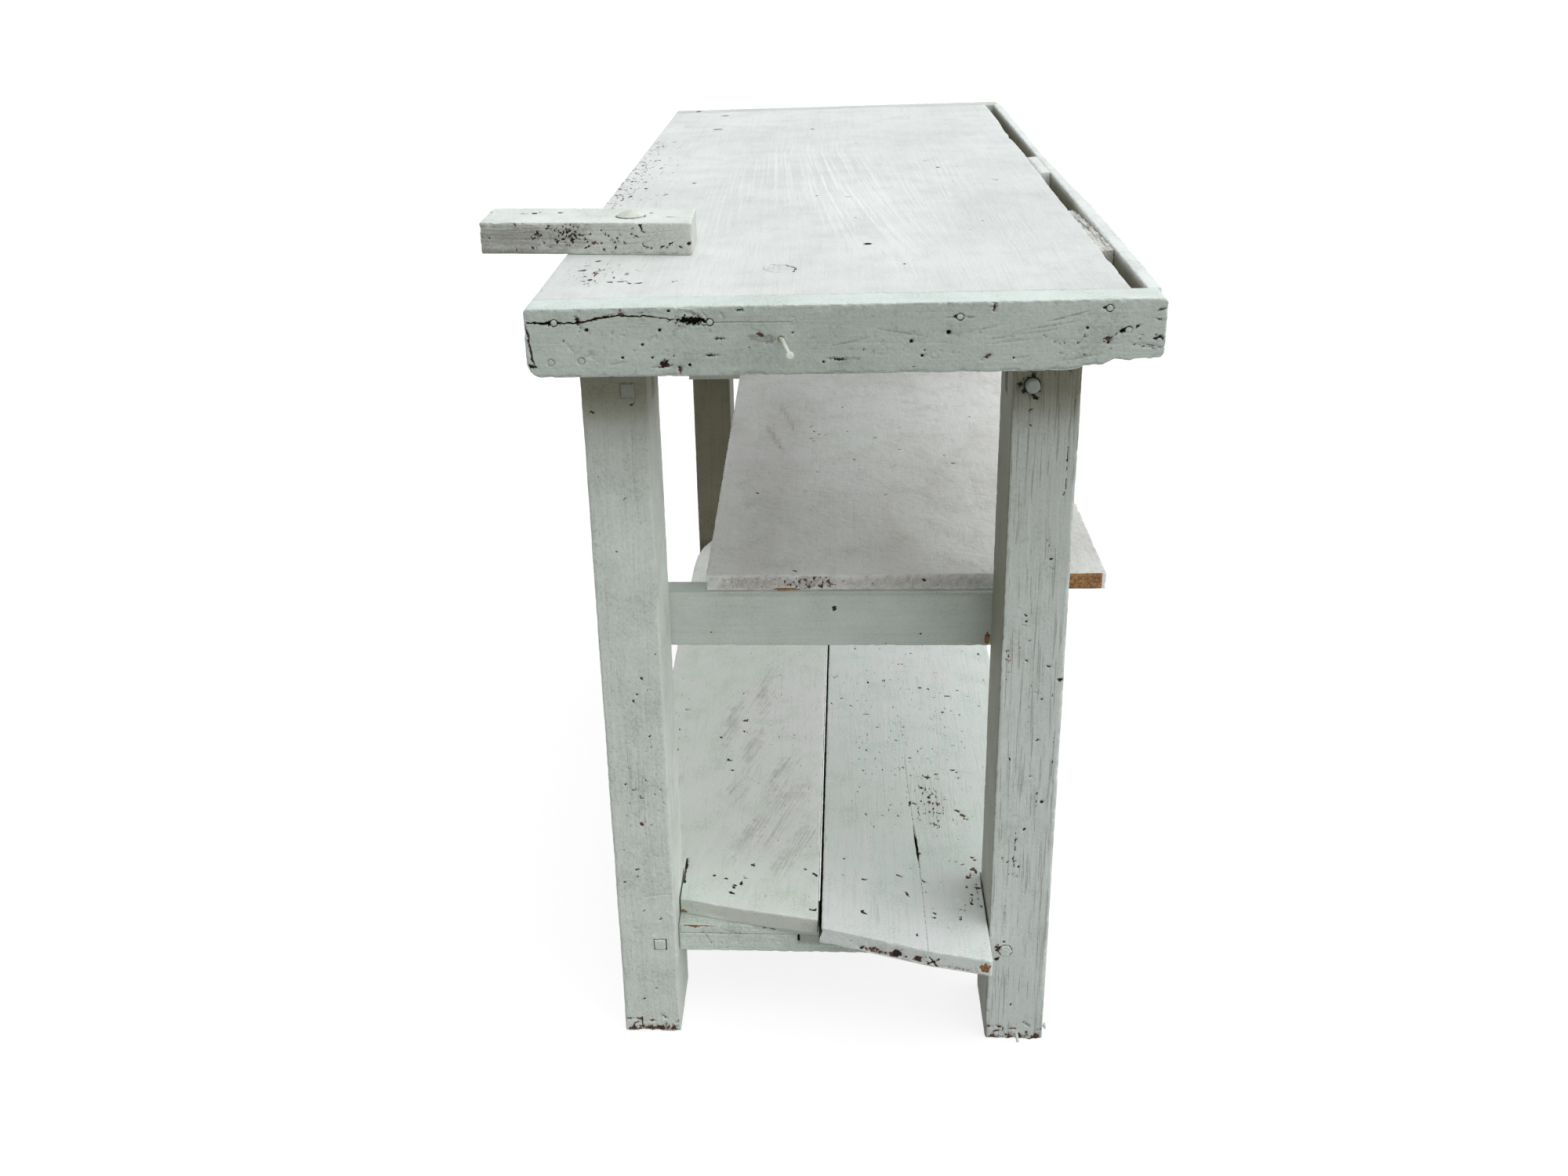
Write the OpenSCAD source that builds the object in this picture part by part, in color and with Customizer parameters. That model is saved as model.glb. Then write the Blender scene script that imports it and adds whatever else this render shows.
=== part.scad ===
// Old painted workbench with a swing bar, tool slots, a loose shelf and a plank shelf.
// Bench coordinates: x is 0 at the face of the near end cap and runs negative along the bench,
// y is 0 midway between the legs (negative is the front), z is 0 on the floor.

/* [Top] */
// Height of the working surface above the floor
bench_h = 840; // [780:1:900]
// Length of the top over both end caps
top_len = 1362; // [1250:1:1450]
// Thickness of the slab, the caps and the tool rail
top_t = 60; // [52:1:70]
// Width of the slab
slab_w = 500; // [470:1:530]
// Thickness of each end cap, along the bench
cap_t = 37; // [30:1:44]
// How far the caps stand proud of the front edge of the slab
cap_lip = 2; // [1:0.5:5]
// Radius of the worn lower front corner of a cap
cap_round = 14; // [8:1:18]
// How deep the lower back corner of the near cap is worn away
cap_worn = 9; // [5:1:14]
// Depth of the long crack in the near cap
crack_depth = 7; // [4:1:14]
// Height of the open crack
crack_gap = 1.3; // [0.8:0.1:2]

/* [Tool slots] */
// Width of the tool slots
slot_w = 12.5; // [10:0.5:16]
// Thickness of the tool rail
rail_t = 11; // [9:0.5:15]
// Length of the slot next to the near cap
slot_near = 157; // [120:1:180]
// Length of the rough spacer
rough_len = 241; // [210:1:270]
// Length of the middle slot
slot_mid = 199; // [170:1:230]
// Length of the flush spacer
flush_len = 127; // [100:1:150]
// How far the far end of the rough spacer lies below the top
rough_drop = 6.5; // [4:0.5:12]

/* [Legs] */
// Width of a leg across the bench
leg_w = 62; // [54:1:72]
// Depth of a leg along the bench
leg_d = 96; // [84:1:108]
// Distance over the outer faces of a pair of legs
leg_spread = 454; // [430:1:480]
// Overhang of the top beyond the near legs
near_over = 108; // [85:1:125]
// Overhang of the top beyond the far legs
far_over = 88; // [70:1:105]
// Worn bevel along the corners of the legs
leg_bevel = 2.5; // [1:0.5:4]

/* [Rails] */
// Height of an upper cross rail
upper_h = 38; // [30:1:42]
// Thickness of an upper cross rail
upper_t = 46; // [38:1:54]
// Thickness of the upper tenons
upper_tenon = 14; // [12:1:18]
// Height of the upper tenons
upper_tenon_h = 64; // [58:1:72]
// Depth of the mortises
mortise_deep = 46; // [40:1:50]
// How far the cut lower part of the upper tenons lies inside the leg
tenon_recess = 6; // [4:1:9]
// Underside of the lower rails above the floor
lower_z = 92.5; // [80:0.5:110]
// Height of a lower rail
lower_h = 35; // [30:1:42]
// Thickness of a lower rail
lower_t = 48; // [42:1:54]
// Thickness of the lower tenons
lower_tenon = 16; // [12:1:20]
// Play of a tenon in its mortise on each side
tenon_play = 0.1; // [0.05:0.05:0.25]

/* [Pegs] */
// Width of the square pegs at the top of the legs
square_peg = 13; // [11:0.5:15]
// Diameter of the round pegs at the top of the legs
round_peg = 13; // [11:0.5:15]
// Width of the pegs in the lower rails
low_peg = 12; // [10:0.5:13.5]
// How far the round pegs stand proud of the leg
peg_proud = 6; // [3:0.5:9]
// Length of a peg inside the wood
peg_len = 70; // [62:1:76]
// Height of the upper pegs below the working surface
peg_drop = 104; // [98:1:108]
// Distance of the pegs from the inner face of the leg
peg_in = 18; // [14:1:22]
// Play around each peg
peg_play = 0.1; // [0.05:0.05:0.2]

/* [Shelf] */
// Underside of the shelf bearers above the floor
bearer_z = 428; // [380:1:470]
// Height of the near shelf bearer
bearer_h = 61.5; // [55:0.5:75]
// Height of the far shelf bearer
far_bearer_h = 49.5; // [46:0.5:60]
// Thickness of a shelf bearer
bearer_t = 29.5; // [24:0.5:36]
// Thickness of the loose shelf board
shelf_t = 18; // [15:1:22]
// Width of the shelf board
shelf_w = 407; // [380:1:420]
// Room between the shelf board and the legs at each end
shelf_play = 3; // [1:0.5:6]
// Front edge of the shelf board from the middle of the bench
shelf_front = 127; // [115:1:140]
// Angle at which the shelf board lies, in degrees
shelf_turn = 0.5; // [0:0.1:0.6]

/* [Planks] */
// Thickness of the shelf planks on the lower rails
plank_t = 20; // [18:1:25]
// Half distance over the outer edges of the two planks
plank_half = 225.5; // [215:0.5:226.5]
// Gap between the two planks
plank_gap = 3.4; // [2:0.2:6]
// Middle of that gap at the near end, from the middle of the bench
gap_near = -12; // [-20:1:0]
// Middle of that gap at the far end, from the middle of the bench
gap_far = 0.5; // [-10:0.5:10]
// Play left below, where the planks nearly touch
joint_play = 0.4; // [0.2:0.1:1]
// Play between a plank and the legs it is notched around
plank_play = 1.5; // [1:0.1:3]
// Depth of the split in the back plank
split_deep = 14; // [8:1:17]

/* [Swing bar] */
// Length of the bar
bar_len = 211; // [190:0.5:230]
// Width of the bar
bar_w = 77; // [68:1:86]
// Height of the bar
bar_h = 31; // [26:1:36]
// Length of the short arm, from the bolt to the inner end
bar_short = 62.5; // [54:0.5:70]
// How far the bolt lies off the middle line of the bar
bar_offset = 4; // [0:1:8]
// Angle of the bar to the end of the bench, in degrees
bar_angle = 7.5; // [3:0.5:12]
// Angle at which the ends of the bar are sawn off square, in degrees
end_skew = 9.3; // [3:0.1:12]
// Worn bevel along the edges of the bar
bar_bevel = 1.5; // [1:0.5:3]
// Distance of the bolt behind the near face of the top
bolt_back = 243; // [235:1:260]
// Distance of the bolt from the middle of the bench
bolt_front = 189; // [182:1:200]
// Diameter of the bolt shank
bolt_d = 12; // [10:0.5:13]
// Diameter of the domed bolt head
head_d = 28; // [26:0.5:31]
// Rise of the domed bolt head
head_rise = 5; // [4:0.5:7]
// Running play of the bolt in the slab, all round
run_play = 0.08; // [0.04:0.01:0.1]
// Play between the bolt and the bar, washer and nut
bolt_play = 0.1; // [0.05:0.01:0.15]
// Outer diameter of the washer
washer_d = 30; // [28:0.5:34]
// Thickness of the washer
washer_t = 2.5; // [2:0.5:4]
// Width of the nut across its flats
nut_w = 19; // [18:0.5:20]
// Height of the nut
nut_h = 10; // [8:0.5:12]

/* [Nails] */
// Head diameter of the cap nails
nail_head = 7; // [6:0.5:8]
// Shank diameter of the cap nails
nail_d = 3.4; // [2.8:0.2:4]
// Length of the cap nails
nail_len = 70; // [60:1:80]
// Length of the spikes from the slab into the legs
slab_nail_len = 108; // [90:1:130]
// Head diameter of these spikes
spike_head = 8; // [7:0.5:9]
// Shank diameter of these spikes
spike_d = 4; // [3.4:0.2:4.6]
// Length of the nails through the shelf bearers
bearer_nail_len = 68; // [60:1:80]
// Distance of the first of these nails from the inner face of the leg
bearer_nail_in = 18; // [14:1:22]
// Step across from one of these nails to the next
bearer_nail_step = 26; // [20:1:30]
// Height of the lower nail below the top of the bearer
bearer_nail_low = 38; // [34:1:42]
// Rise from one of these nails to the next
bearer_nail_rise = 24; // [18:1:27]
// Length of the nails through the planks
plank_nail_len = 48; // [40:1:52]
// Length of the nails through the tool rail
rail_nail_len = 38; // [30:1:45]
// Head diameter of the small nails
brad_head = 6; // [5:0.5:7]
// Shank diameter of the small nails
brad_d = 3; // [2.6:0.2:3.4]
// How deep the cap nails are sunk
nail_sunk = 2; // [1.8:0.1:3]
// Thickness of a nail head
nail_head_t = 1.6; // [1.2:0.1:1.8]
// Play around each nail
nail_play = 0.1; // [0.05:0.01:0.15]
// How far the bent nail sticks out
bent_reach = 22; // [16:1:28]
// Head diameter of the bent nail
bent_head = 7; // [6:0.5:8]
// Diameter of the wooden plugs in the slab
plug_d = 15; // [13:0.5:17]

/* [Hidden] */
$fn = 48;
cap_z = bench_h - top_t;
slab_f = -slab_w / 2;
slab_b = slab_w / 2;
rail_in = slab_b + slot_w;
rail_out = rail_in + rail_t;
cap_f = slab_f - cap_lip;
far_x = -top_len;
x_rough = cap_t + slot_near;
x_mid = x_rough + rough_len;
x_flush = x_mid + slot_mid;
x_last = x_flush + flush_len;
leg_out = leg_spread / 2;
leg_in = leg_out - leg_w;
leg_mid = leg_d / 2;
peg_y = leg_in + peg_in;
peg_z = bench_h - peg_drop;
low_peg_z = lower_z + lower_h - 10;
plank_z = lower_z + lower_h;
shelf_z = bearer_z + bearer_h;
near_back = near_over + leg_d;
far_front = top_len - far_over - leg_d;
shelf_x = near_back + shelf_play;
shelf_len = far_front - near_back - 2 * shelf_play - shelf_w * sin(shelf_turn);
plank_far = top_len - far_over - 12;
low_mid = leg_mid - 1.5;
long_arm = bar_len - bar_short;
bar_far = bar_w / 2 + bar_offset;
bar_near = bar_w - bar_far;
bar_cut = 4;
cut_far = bar_far - bar_cut;
bar_reach = bolt_front + max(
    (long_arm + cut_far * tan(end_skew)) * cos(bar_angle) - cut_far * sin(bar_angle),
    (long_arm - bar_near * tan(end_skew)) * cos(bar_angle) + bar_near * sin(bar_angle)
);
shelf_reach = shelf_w * cos(shelf_turn) - shelf_front;
y_shift = (bar_reach - shelf_reach) / 2;
x_shift = (top_len + bent_reach) / 2 - bent_reach;
bent_tip = bent_reach - bent_head / 2 * sqrt(1 - 0.36 / 3.61);
eps = 0.01;

paint = [0.80, 0.84, 0.80];
paint_dark = [0.70, 0.74, 0.70];
steel = [0.62, 0.60, 0.55];
wood = [0.55, 0.36, 0.22];

// Moves bench coordinates into the shared frame.
module bench() translate([x_shift, y_shift, 0]) children();

// The near end and the far end of the frame, with x measured inwards from the leg's end face.
module near_end() translate([-near_over, 0, 0]) mirror([1, 0, 0]) children();
module far_end() translate([-(top_len - far_over), 0, 0]) children();

// Prisms of a flat shape: along x the shape is drawn in y and z, along y in x and z.
module prism_x(a, b) translate([a, 0, 0]) rotate([90, 0, 90]) linear_extrude(b - a) children();
module prism_y(a, b) translate([0, b, 0]) rotate([90, 0, 0]) linear_extrude(b - a) children();
module prism_z(a, b) translate([0, 0, a]) linear_extrude(b - a) children();

// A rectangle from p to q with its corners cut back by c.
module bevelled(p, q, c) polygon([
    [p[0] + c, p[1]], [q[0] - c, p[1]], [q[0], p[1] + c], [q[0], q[1] - c],
    [q[0] - c, q[1]], [p[0] + c, q[1]], [p[0], q[1] - c], [p[0], p[1] + c]
]);

// What rounding the corner at p takes off; sx and sy point from the corner into the board.
module corner(p, sx, sy, r) translate(p) mirror([sx < 0 ? 1 : 0, 0, 0]) mirror([0, sy < 0 ? 1 : 0, 0])
    difference() {
        translate([-2, -2]) square(r + 2);
        translate([r, r]) circle(r = r, $fn = 64);
    }

// A thin band of height w along a line of points.
function band(pts, w) = concat(
    [for (p = pts) p + [0, w / 2]],
    [for (i = [len(pts) - 1 : -1 : 0]) pts[i] - [0, w / 2]]
);

// Sharp chips: a small block turned over and taken out at p.
module chip(p, s, turn) translate(p) rotate(turn) cube(s, center = true);

// Nail along +x with its head at x = 0 and the shank behind it.
module nail(hd, ht, d, l) {
    translate([-ht, 0, 0]) rotate([0, 90, 0]) cylinder(d = hd, h = ht);
    translate([-l, 0, 0]) rotate([0, 90, 0]) cylinder(d = d, h = l - ht + eps);
}

// The hole for such a nail: the shank runs on behind the seat of the head.
module nail_hole(hd, ht, d, l, sunk) {
    translate([-ht, 0, 0]) rotate([0, 90, 0]) cylinder(d = hd + 2 * nail_play + 0.6, h = ht + sunk + 1);
    translate([-l, 0, 0]) rotate([0, 90, 0]) cylinder(d = d + 2 * nail_play, h = l);
}

// Round rod between two points.
module rod(p, q, d) {
    v = q - p;
    l = norm(v);
    translate(p) rotate([0, acos(v[2] / l), atan2(v[1], v[0])]) cylinder(d = d, h = l);
}

// Where the cap nails sit, across and up; the last one goes into the end of the tool rail.
cap_nail_at = [
    [slab_f + 24, 12.5], [slab_f + 154, 14], [slab_f + 19, top_t - 13.5], [slab_f + 45, top_t - 14.5],
    [slab_b - 142, 13], [slab_b - 23, 8], [slab_b - 7, 26.5], [rail_in + rail_t / 2, 36]
];
module at_cap_nails() for (p = cap_nail_at) translate([0, p[0], bench_h - p[1]]) children();
module cap_nail_holes() at_cap_nails() translate([-nail_sunk + nail_head_t, 0, 0])
    nail_hole(nail_head, nail_head_t, nail_d, nail_len, nail_sunk);
module cap_nails() at_cap_nails() translate([-nail_sunk + nail_head_t, 0, 0])
    nail(nail_head, nail_head_t, nail_d, nail_len);
module to_far_cap() translate([far_x, 0, 0]) mirror([1, 0, 0]) children();

// The outer face of the tool rail bows a little: each step is the share of its length from the near
// end and how far the face stands out there.
rail_bow = [
    [0, 1.4], [0.07, 2.1], [0.14, 2.8], [0.18, 3.6], [0.27, 3.6], [0.32, 3.2], [0.38, 1], [0.44, 0.5],
    [0.5, -1.1], [0.57, -2.8], [0.65, -1.6], [0.73, -0.3], [0.83, 0], [0.93, 1.4], [1, 1]
];
rail_len = top_len - 2 * cap_t;
function rail_face(x) = rail_out + lookup((x - cap_t) / rail_len, rail_bow);

// Nails through the tool rail and a spacer into the slab.
module at_rail_nails() for (x = [x_rough + 38, x_mid - 36, x_flush + 26, x_last - 26])
    translate([-x, rail_face(x), bench_h - 38]) rotate([0, 0, 90]) children();
module rail_nail() nail(brad_head, 1.2, brad_d, rail_nail_len);
module rail_nail_hole() nail_hole(brad_head, 1.2, brad_d, rail_nail_len, 0);

// Nails down through the slab into the tops of the legs.
module at_slab_nails() for (s = [-1, 1]) for (u = [22, leg_d - 22]) {
    translate([-near_over - u, s * (leg_in + leg_w / 2), bench_h - 0.4]) rotate([0, -90, 0]) children();
    translate([-(top_len - far_over) + u, s * (leg_in + leg_w / 2), bench_h - 0.4]) rotate([0, -90, 0])
        children();
}
module slab_nail() nail(spike_head, 2, spike_d, slab_nail_len);
module slab_nail_hole() nail_hole(spike_head, 2, spike_d, slab_nail_len, 0);

// Two plugs in the slab near the far front leg.
module at_plugs() for (x = [top_len - far_over - 1, far_front - 68])
    translate([-x, -leg_in - 1, bench_h - 12]) children();

// Nails through the bearers into the legs, in end coordinates.
module at_bearer_nails() for (s = [-1, 1]) for (k = [0, 1])
    translate([leg_d + bearer_t, s * (leg_in + bearer_nail_in + bearer_nail_step * k),
        shelf_z - bearer_nail_low + bearer_nail_rise * k]) children();
module bearer_nail() nail(nail_head, 1.5, nail_d, bearer_nail_len);
module bearer_nail_hole() nail_hole(nail_head, 1.5, nail_d, bearer_nail_len, 0);

// Nails through the planks into the lower rails.
module at_plank_nails() for (x = [near_over + low_mid, top_len - far_over - low_mid])
    for (y = [-leg_in + 25, gap_near - 36, gap_near + 54, leg_in - 29])
        translate([-x, y, plank_z + plank_t]) rotate([0, -90, 0]) children();
module plank_nail() nail(brad_head, 1.4, brad_d, plank_nail_len);
module plank_nail_hole() nail_hole(brad_head, 1.4, brad_d, plank_nail_len, 0);

// Peg places in end coordinates, along x into the leg.
module at_peg(s, z) translate([0, s * peg_y, z]) children();
module square_peg_hole(w) translate([-1, -w / 2 - peg_play, -w / 2 - peg_play])
    cube([peg_len + 1, w + 2 * peg_play, w + 2 * peg_play]);
module round_peg_hole(d, f) translate([-1, 0, 0]) rotate([0, 90, 0])
    cylinder(d = d + 2 * peg_play, h = peg_len + 1, $fn = f);
module hex_hole(d) translate([-1, 0, 0]) rotate([0, 90, 0])
    cylinder(r = d / 2 / cos(30) + peg_play / cos(30), h = peg_len + 1, $fn = 6);

// The chipped ring around a round peg.
module chipped_ring() {
    translate([-1, -1.8, 1.7]) rotate([0, 90, 0]) cylinder(d = round_peg + 3.6, h = 6);
    translate([1.5, -7.5, -5]) rotate([20, 0, 35]) cube([7, 6, 5], center = true);
}

// The pegs and their holes on one side of an end; the front has square upper pegs, the back round ones.
module peg_holes(s) {
    if (s < 0) {
        at_peg(s, peg_z) square_peg_hole(square_peg);
        at_peg(s, low_peg_z) square_peg_hole(low_peg);
    } else {
        at_peg(s, peg_z) round_peg_hole(round_peg, 48);
        at_peg(s, low_peg_z) hex_hole(low_peg);
    }
}

// One leg in end coordinates; s is -1 for the front and 1 for the back.
module leg(s) {
    y0 = s < 0 ? -leg_out : leg_in;
    y1 = s < 0 ? -leg_in : leg_out;
    difference() {
        prism_z(0, cap_z) bevelled([0, y0], [leg_d, y1], leg_bevel);
        translate([leg_mid - upper_tenon / 2 - tenon_play, s < 0 ? -leg_in - mortise_deep - 2 : leg_in - 1,
            cap_z - upper_tenon_h])
            cube([upper_tenon + 2 * tenon_play, mortise_deep + 3, upper_tenon_h + 1]);
        translate([low_mid - lower_tenon / 2 - tenon_play, s < 0 ? -leg_in - mortise_deep - 2 : leg_in - 1,
            lower_z + 3])
            cube([lower_tenon + 2 * tenon_play, mortise_deep + 3, lower_h - 3 + tenon_play]);
        peg_holes(s);
        at_bearer_nails() bearer_nail_hole();
        foot_wear(s);
    }
}

// Chips worn out of the foot of a leg.
module foot_wear(s) {
    y0 = s < 0 ? -leg_out : leg_in;
    chip([-1, y0 + 19, 2], [12, 9, 8], [12, 24, 30]);
    chip([0, y0 + 37, 0], [9, 14, 7], [8, -20, 12]);
    chip([-2, y0 + (s < 0 ? 58 : 4), 0], [14, 10, 9], [30, 18, 40]);
    chip([leg_d, y0 + 30, 0], [10, 18, 7], [14, 25, 8]);
}

module slab_nail_places() at_slab_nails() slab_nail_hole();

module leg_front_near() color(paint) bench() difference() {
    near_end() leg(-1);
    slab_nail_places();
}
module leg_back_near() color(paint) bench() difference() {
    near_end() leg(1);
    near_end() at_peg(1, peg_z) chipped_ring();
    slab_nail_places();
    foot_nail_holes();
}
module leg_front_far() color(paint) bench() difference() {
    far_end() leg(-1);
    slab_nail_places();
}
module leg_back_far() color(paint) bench() difference() {
    far_end() leg(1);
    slab_nail_places();
}

// Upper cross rail: its tenons are taller than the rail, their lower part cut back into the mortise.
module upper_rail() difference() {
    union() {
        prism_y(-leg_in, leg_in)
            bevelled([leg_mid - upper_t / 2, cap_z - upper_h], [leg_mid + upper_t / 2, cap_z], 1.5);
        translate([leg_mid - upper_tenon / 2, -leg_in - mortise_deep, cap_z - upper_h])
            cube([upper_tenon, 2 * (leg_in + mortise_deep), upper_h]);
        for (s = [-1, 1])
            translate([leg_mid - upper_tenon / 2, s < 0 ? -leg_in - mortise_deep : leg_in + tenon_recess,
                cap_z - upper_tenon_h])
                cube([upper_tenon, mortise_deep - tenon_recess, upper_tenon_h - 1]);
    }
    peg_holes(-1);
    peg_holes(1);
}
module upper_rail_near() color(paint_dark) bench() near_end() upper_rail();
module upper_rail_far() color(paint_dark) bench() far_end() upper_rail();

// Lower cross rail with its pegged tenons.
module lower_rail() difference() {
    union() {
        prism_y(-leg_in, leg_in)
            bevelled([low_mid - lower_t / 2, lower_z], [low_mid + lower_t / 2, lower_z + lower_h], 1.5);
        translate([low_mid - lower_tenon / 2, -leg_in - mortise_deep, lower_z + 3])
            cube([lower_tenon, 2 * (leg_in + mortise_deep), lower_h - 3]);
    }
    peg_holes(-1);
    peg_holes(1);
}

// The near lower rail keeps an old groove and a housing in its face.
module lower_rail_near() color(paint) bench() difference() {
    near_end() lower_rail();
    near_end() {
        translate([low_mid - lower_t / 2 - 1, -leg_in - 1, lower_z + 22.8]) cube([2.6, leg_in - 34, 1.4]);
        translate([low_mid - lower_t / 2 - 1, -36.5, lower_z + 11.5]) cube([21, 2.5, 12.5]);
        translate([low_mid - lower_t / 2 - 1, -35, lower_z + 11.5]) cube([8, 96, 12.5]);
    }
    at_plank_nails() plank_nail_hole();
}
module lower_rail_far() color(paint) bench() difference() {
    far_end() lower_rail();
    at_plank_nails() plank_nail_hole();
}

// Shelf bearers, nailed to the inner faces of the legs.
module bearer(front, h) difference() {
    prism_y(-front, leg_out) bevelled([leg_d, shelf_z - h], [leg_d + bearer_t, shelf_z], 1);
    at_bearer_nails() bearer_nail_hole();
}
module shelf_bearer_near() color(paint) bench() difference() {
    near_end() bearer(leg_out, bearer_h);
    near_end() translate([leg_d - 1, 4, bearer_z + 42]) rotate([0, 90, 0]) cylinder(d = 3, h = 12);
}
module shelf_bearer_far() color(paint) bench() far_end() bearer(leg_out + 3, far_bearer_h);

// Loose shelf board, lying a little askew on the bearers.
module shelf_board() color(paint) bench()
    translate([-shelf_x, -shelf_front, 0]) rotate([0, 0, shelf_turn]) difference() {
        prism_z(shelf_z, shelf_z + shelf_t) polygon([
            [0, 0], [0, shelf_w - 2], [-2, shelf_w], [-shelf_len, shelf_w], [-shelf_len, 3],
            [-shelf_len + 3, 0]
        ]);
        chip([0, 96, shelf_z + shelf_t], [3, 40, 4], [0, 45, 0]);
        chip([1, 255, shelf_z], [5, 22, 5], [0, 40, 4]);
    }

// The gap between the planks runs a little askew.
gap_turn = atan2(gap_near - gap_far, plank_far - near_over);
function gap_y(x) = gap_near + (x - near_over) * (gap_far - gap_near) / (plank_far - near_over);

module plank_front() color(paint) bench() difference() {
    prism_z(plank_z, plank_z + plank_t) polygon([
        [-116, gap_y(116) - plank_gap / 2], [-131.5, -91], [-150.5, -leg_in + plank_play],
        [-near_back - 3, -leg_in + plank_play], [-near_back - 3, -plank_half],
        [-far_front + 116, -plank_half], [-far_front + 73, -plank_half + 1.5],
        [-far_front + 30, -plank_half + 10], [-far_front + 3, -plank_half + 21],
        [-far_front + 3, -leg_in + plank_play], [-plank_far, -leg_in + plank_play],
        [-plank_far, gap_y(plank_far) - plank_gap / 2]
    ]);
    at_plank_nails() plank_nail_hole();
    chip([-140, -126, plank_z], [9, 30, 8], [0, 32, 17]);
    chip([-125, -62, plank_z + plank_t], [4, 34, 4], [4, 40, 15]);
}

// The edge of the back plank leans over to the front plank, so that their joint closes below.
module plank_lean() translate([-plank_far, gap_y(plank_far), plank_z]) rotate([0, 0, gap_turn])
    prism_x(0, (plank_far - near_over - 6) / cos(gap_turn)) polygon([
        [plank_gap * 1.5, 0], [joint_play - plank_gap / 2, 0], [joint_play - plank_gap / 2, plank_t * 0.15],
        [plank_gap / 2, plank_t * 0.7], [plank_gap * 1.5, plank_t * 0.7]
    ]);

// The split in the back plank runs in from its near end.
split_line = [[-40, 99.6], [-150, 99.5], [-226, 98.4], [-286, 96.2], [-353, 93.9], [-499, 90.7]];
module plank_back() color(paint) bench() difference() {
    union() {
        prism_z(plank_z, plank_z + plank_t) polygon([
            [-103, gap_y(103) + plank_gap / 2], [-92, 24], [-79, 62], [-66, 99.4], [-60, 128],
            [-52, leg_in - plank_play - 4], [-55, leg_in - plank_play],
            [-near_back - 3, leg_in - plank_play], [-near_back - 3, plank_half],
            [-far_front + 3, plank_half], [-far_front + 3, leg_in - plank_play],
            [-plank_far, leg_in - plank_play],
            [-plank_far, gap_y(plank_far) + plank_gap / 2]
        ]);
        plank_lean();
    }
    at_plank_nails() plank_nail_hole();
    prism_z(plank_z + plank_t - split_deep, plank_z + plank_t + 1) polygon(band(split_line, 0.9));
    prism_z(plank_z + plank_t - split_deep, plank_z + plank_t + 1)
        polygon([[-200, 99.3], [-236, 100.2], [-262, 99.4], [-300, 96.2], [-262, 95.6], [-226, 97.2]]);
    chip([-62, 112, plank_z + plank_t], [9, 22, 7], [0, 35, 12]);
    chip([-80, 60, plank_z], [10, 30, 8], [0, -35, 20]);
    chip([-54, 158, plank_z + plank_t], [9, 9, 6], [10, 30, 30]);
}

// Slab, with the nibbled edge along the tool slots.
module top_slab() color(paint) bench() difference() {
    prism_z(cap_z, bench_h) polygon([
        [-cap_t, slab_f], [-cap_t, slab_b],
        [-x_rough + 60, slab_b], [-x_rough + 44, slab_b - 1.4], [-x_rough + 16, slab_b - 0.6], [-x_rough, slab_b],
        [-x_mid, slab_b], [-x_mid - 30, slab_b - 1.2], [-x_mid - 82, slab_b], [-x_mid - 120, slab_b - 1.5],
        [-x_flush + 20, slab_b - 0.5], [-x_flush, slab_b],
        [-x_last, slab_b], [-x_last - 110, slab_b - 0.8], [-x_last - 158, slab_b - 2.2],
        [-x_last - 176, slab_b - 4.6], [-x_last - 184, slab_b - 4.2], [-x_last - 200, slab_b - 1.6],
        [-x_last - 238, slab_b - 2.8], [-x_last - 300, slab_b - 0.8], [-x_last - 350, slab_b],
        [far_x + cap_t, slab_b], [far_x + cap_t, slab_f]
    ]);
    cap_nail_holes();
    to_far_cap() cap_nail_holes();
    at_rail_nails() rail_nail_hole();
    slab_nail_places();
    at_plugs() cylinder(d = plug_d + 2 * peg_play, h = 13);
    translate([-bolt_back, -bolt_front, cap_z - 1]) cylinder(d = bolt_d + 2 * run_play, h = top_t + 2);
    translate([-239, 38, bench_h - 20]) cylinder(d = 5, h = 21);
}

// End cap outline across the bench: both keep the rounded lower front corner.
module cap_outline() difference() {
    translate([cap_f, cap_z]) square([rail_out - cap_f, top_t]);
    corner([cap_f, cap_z], 1, 1, cap_round);
    corner([cap_f, bench_h], 1, -1, 4);
    corner([rail_out, bench_h], -1, -1, 5);
}

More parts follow.
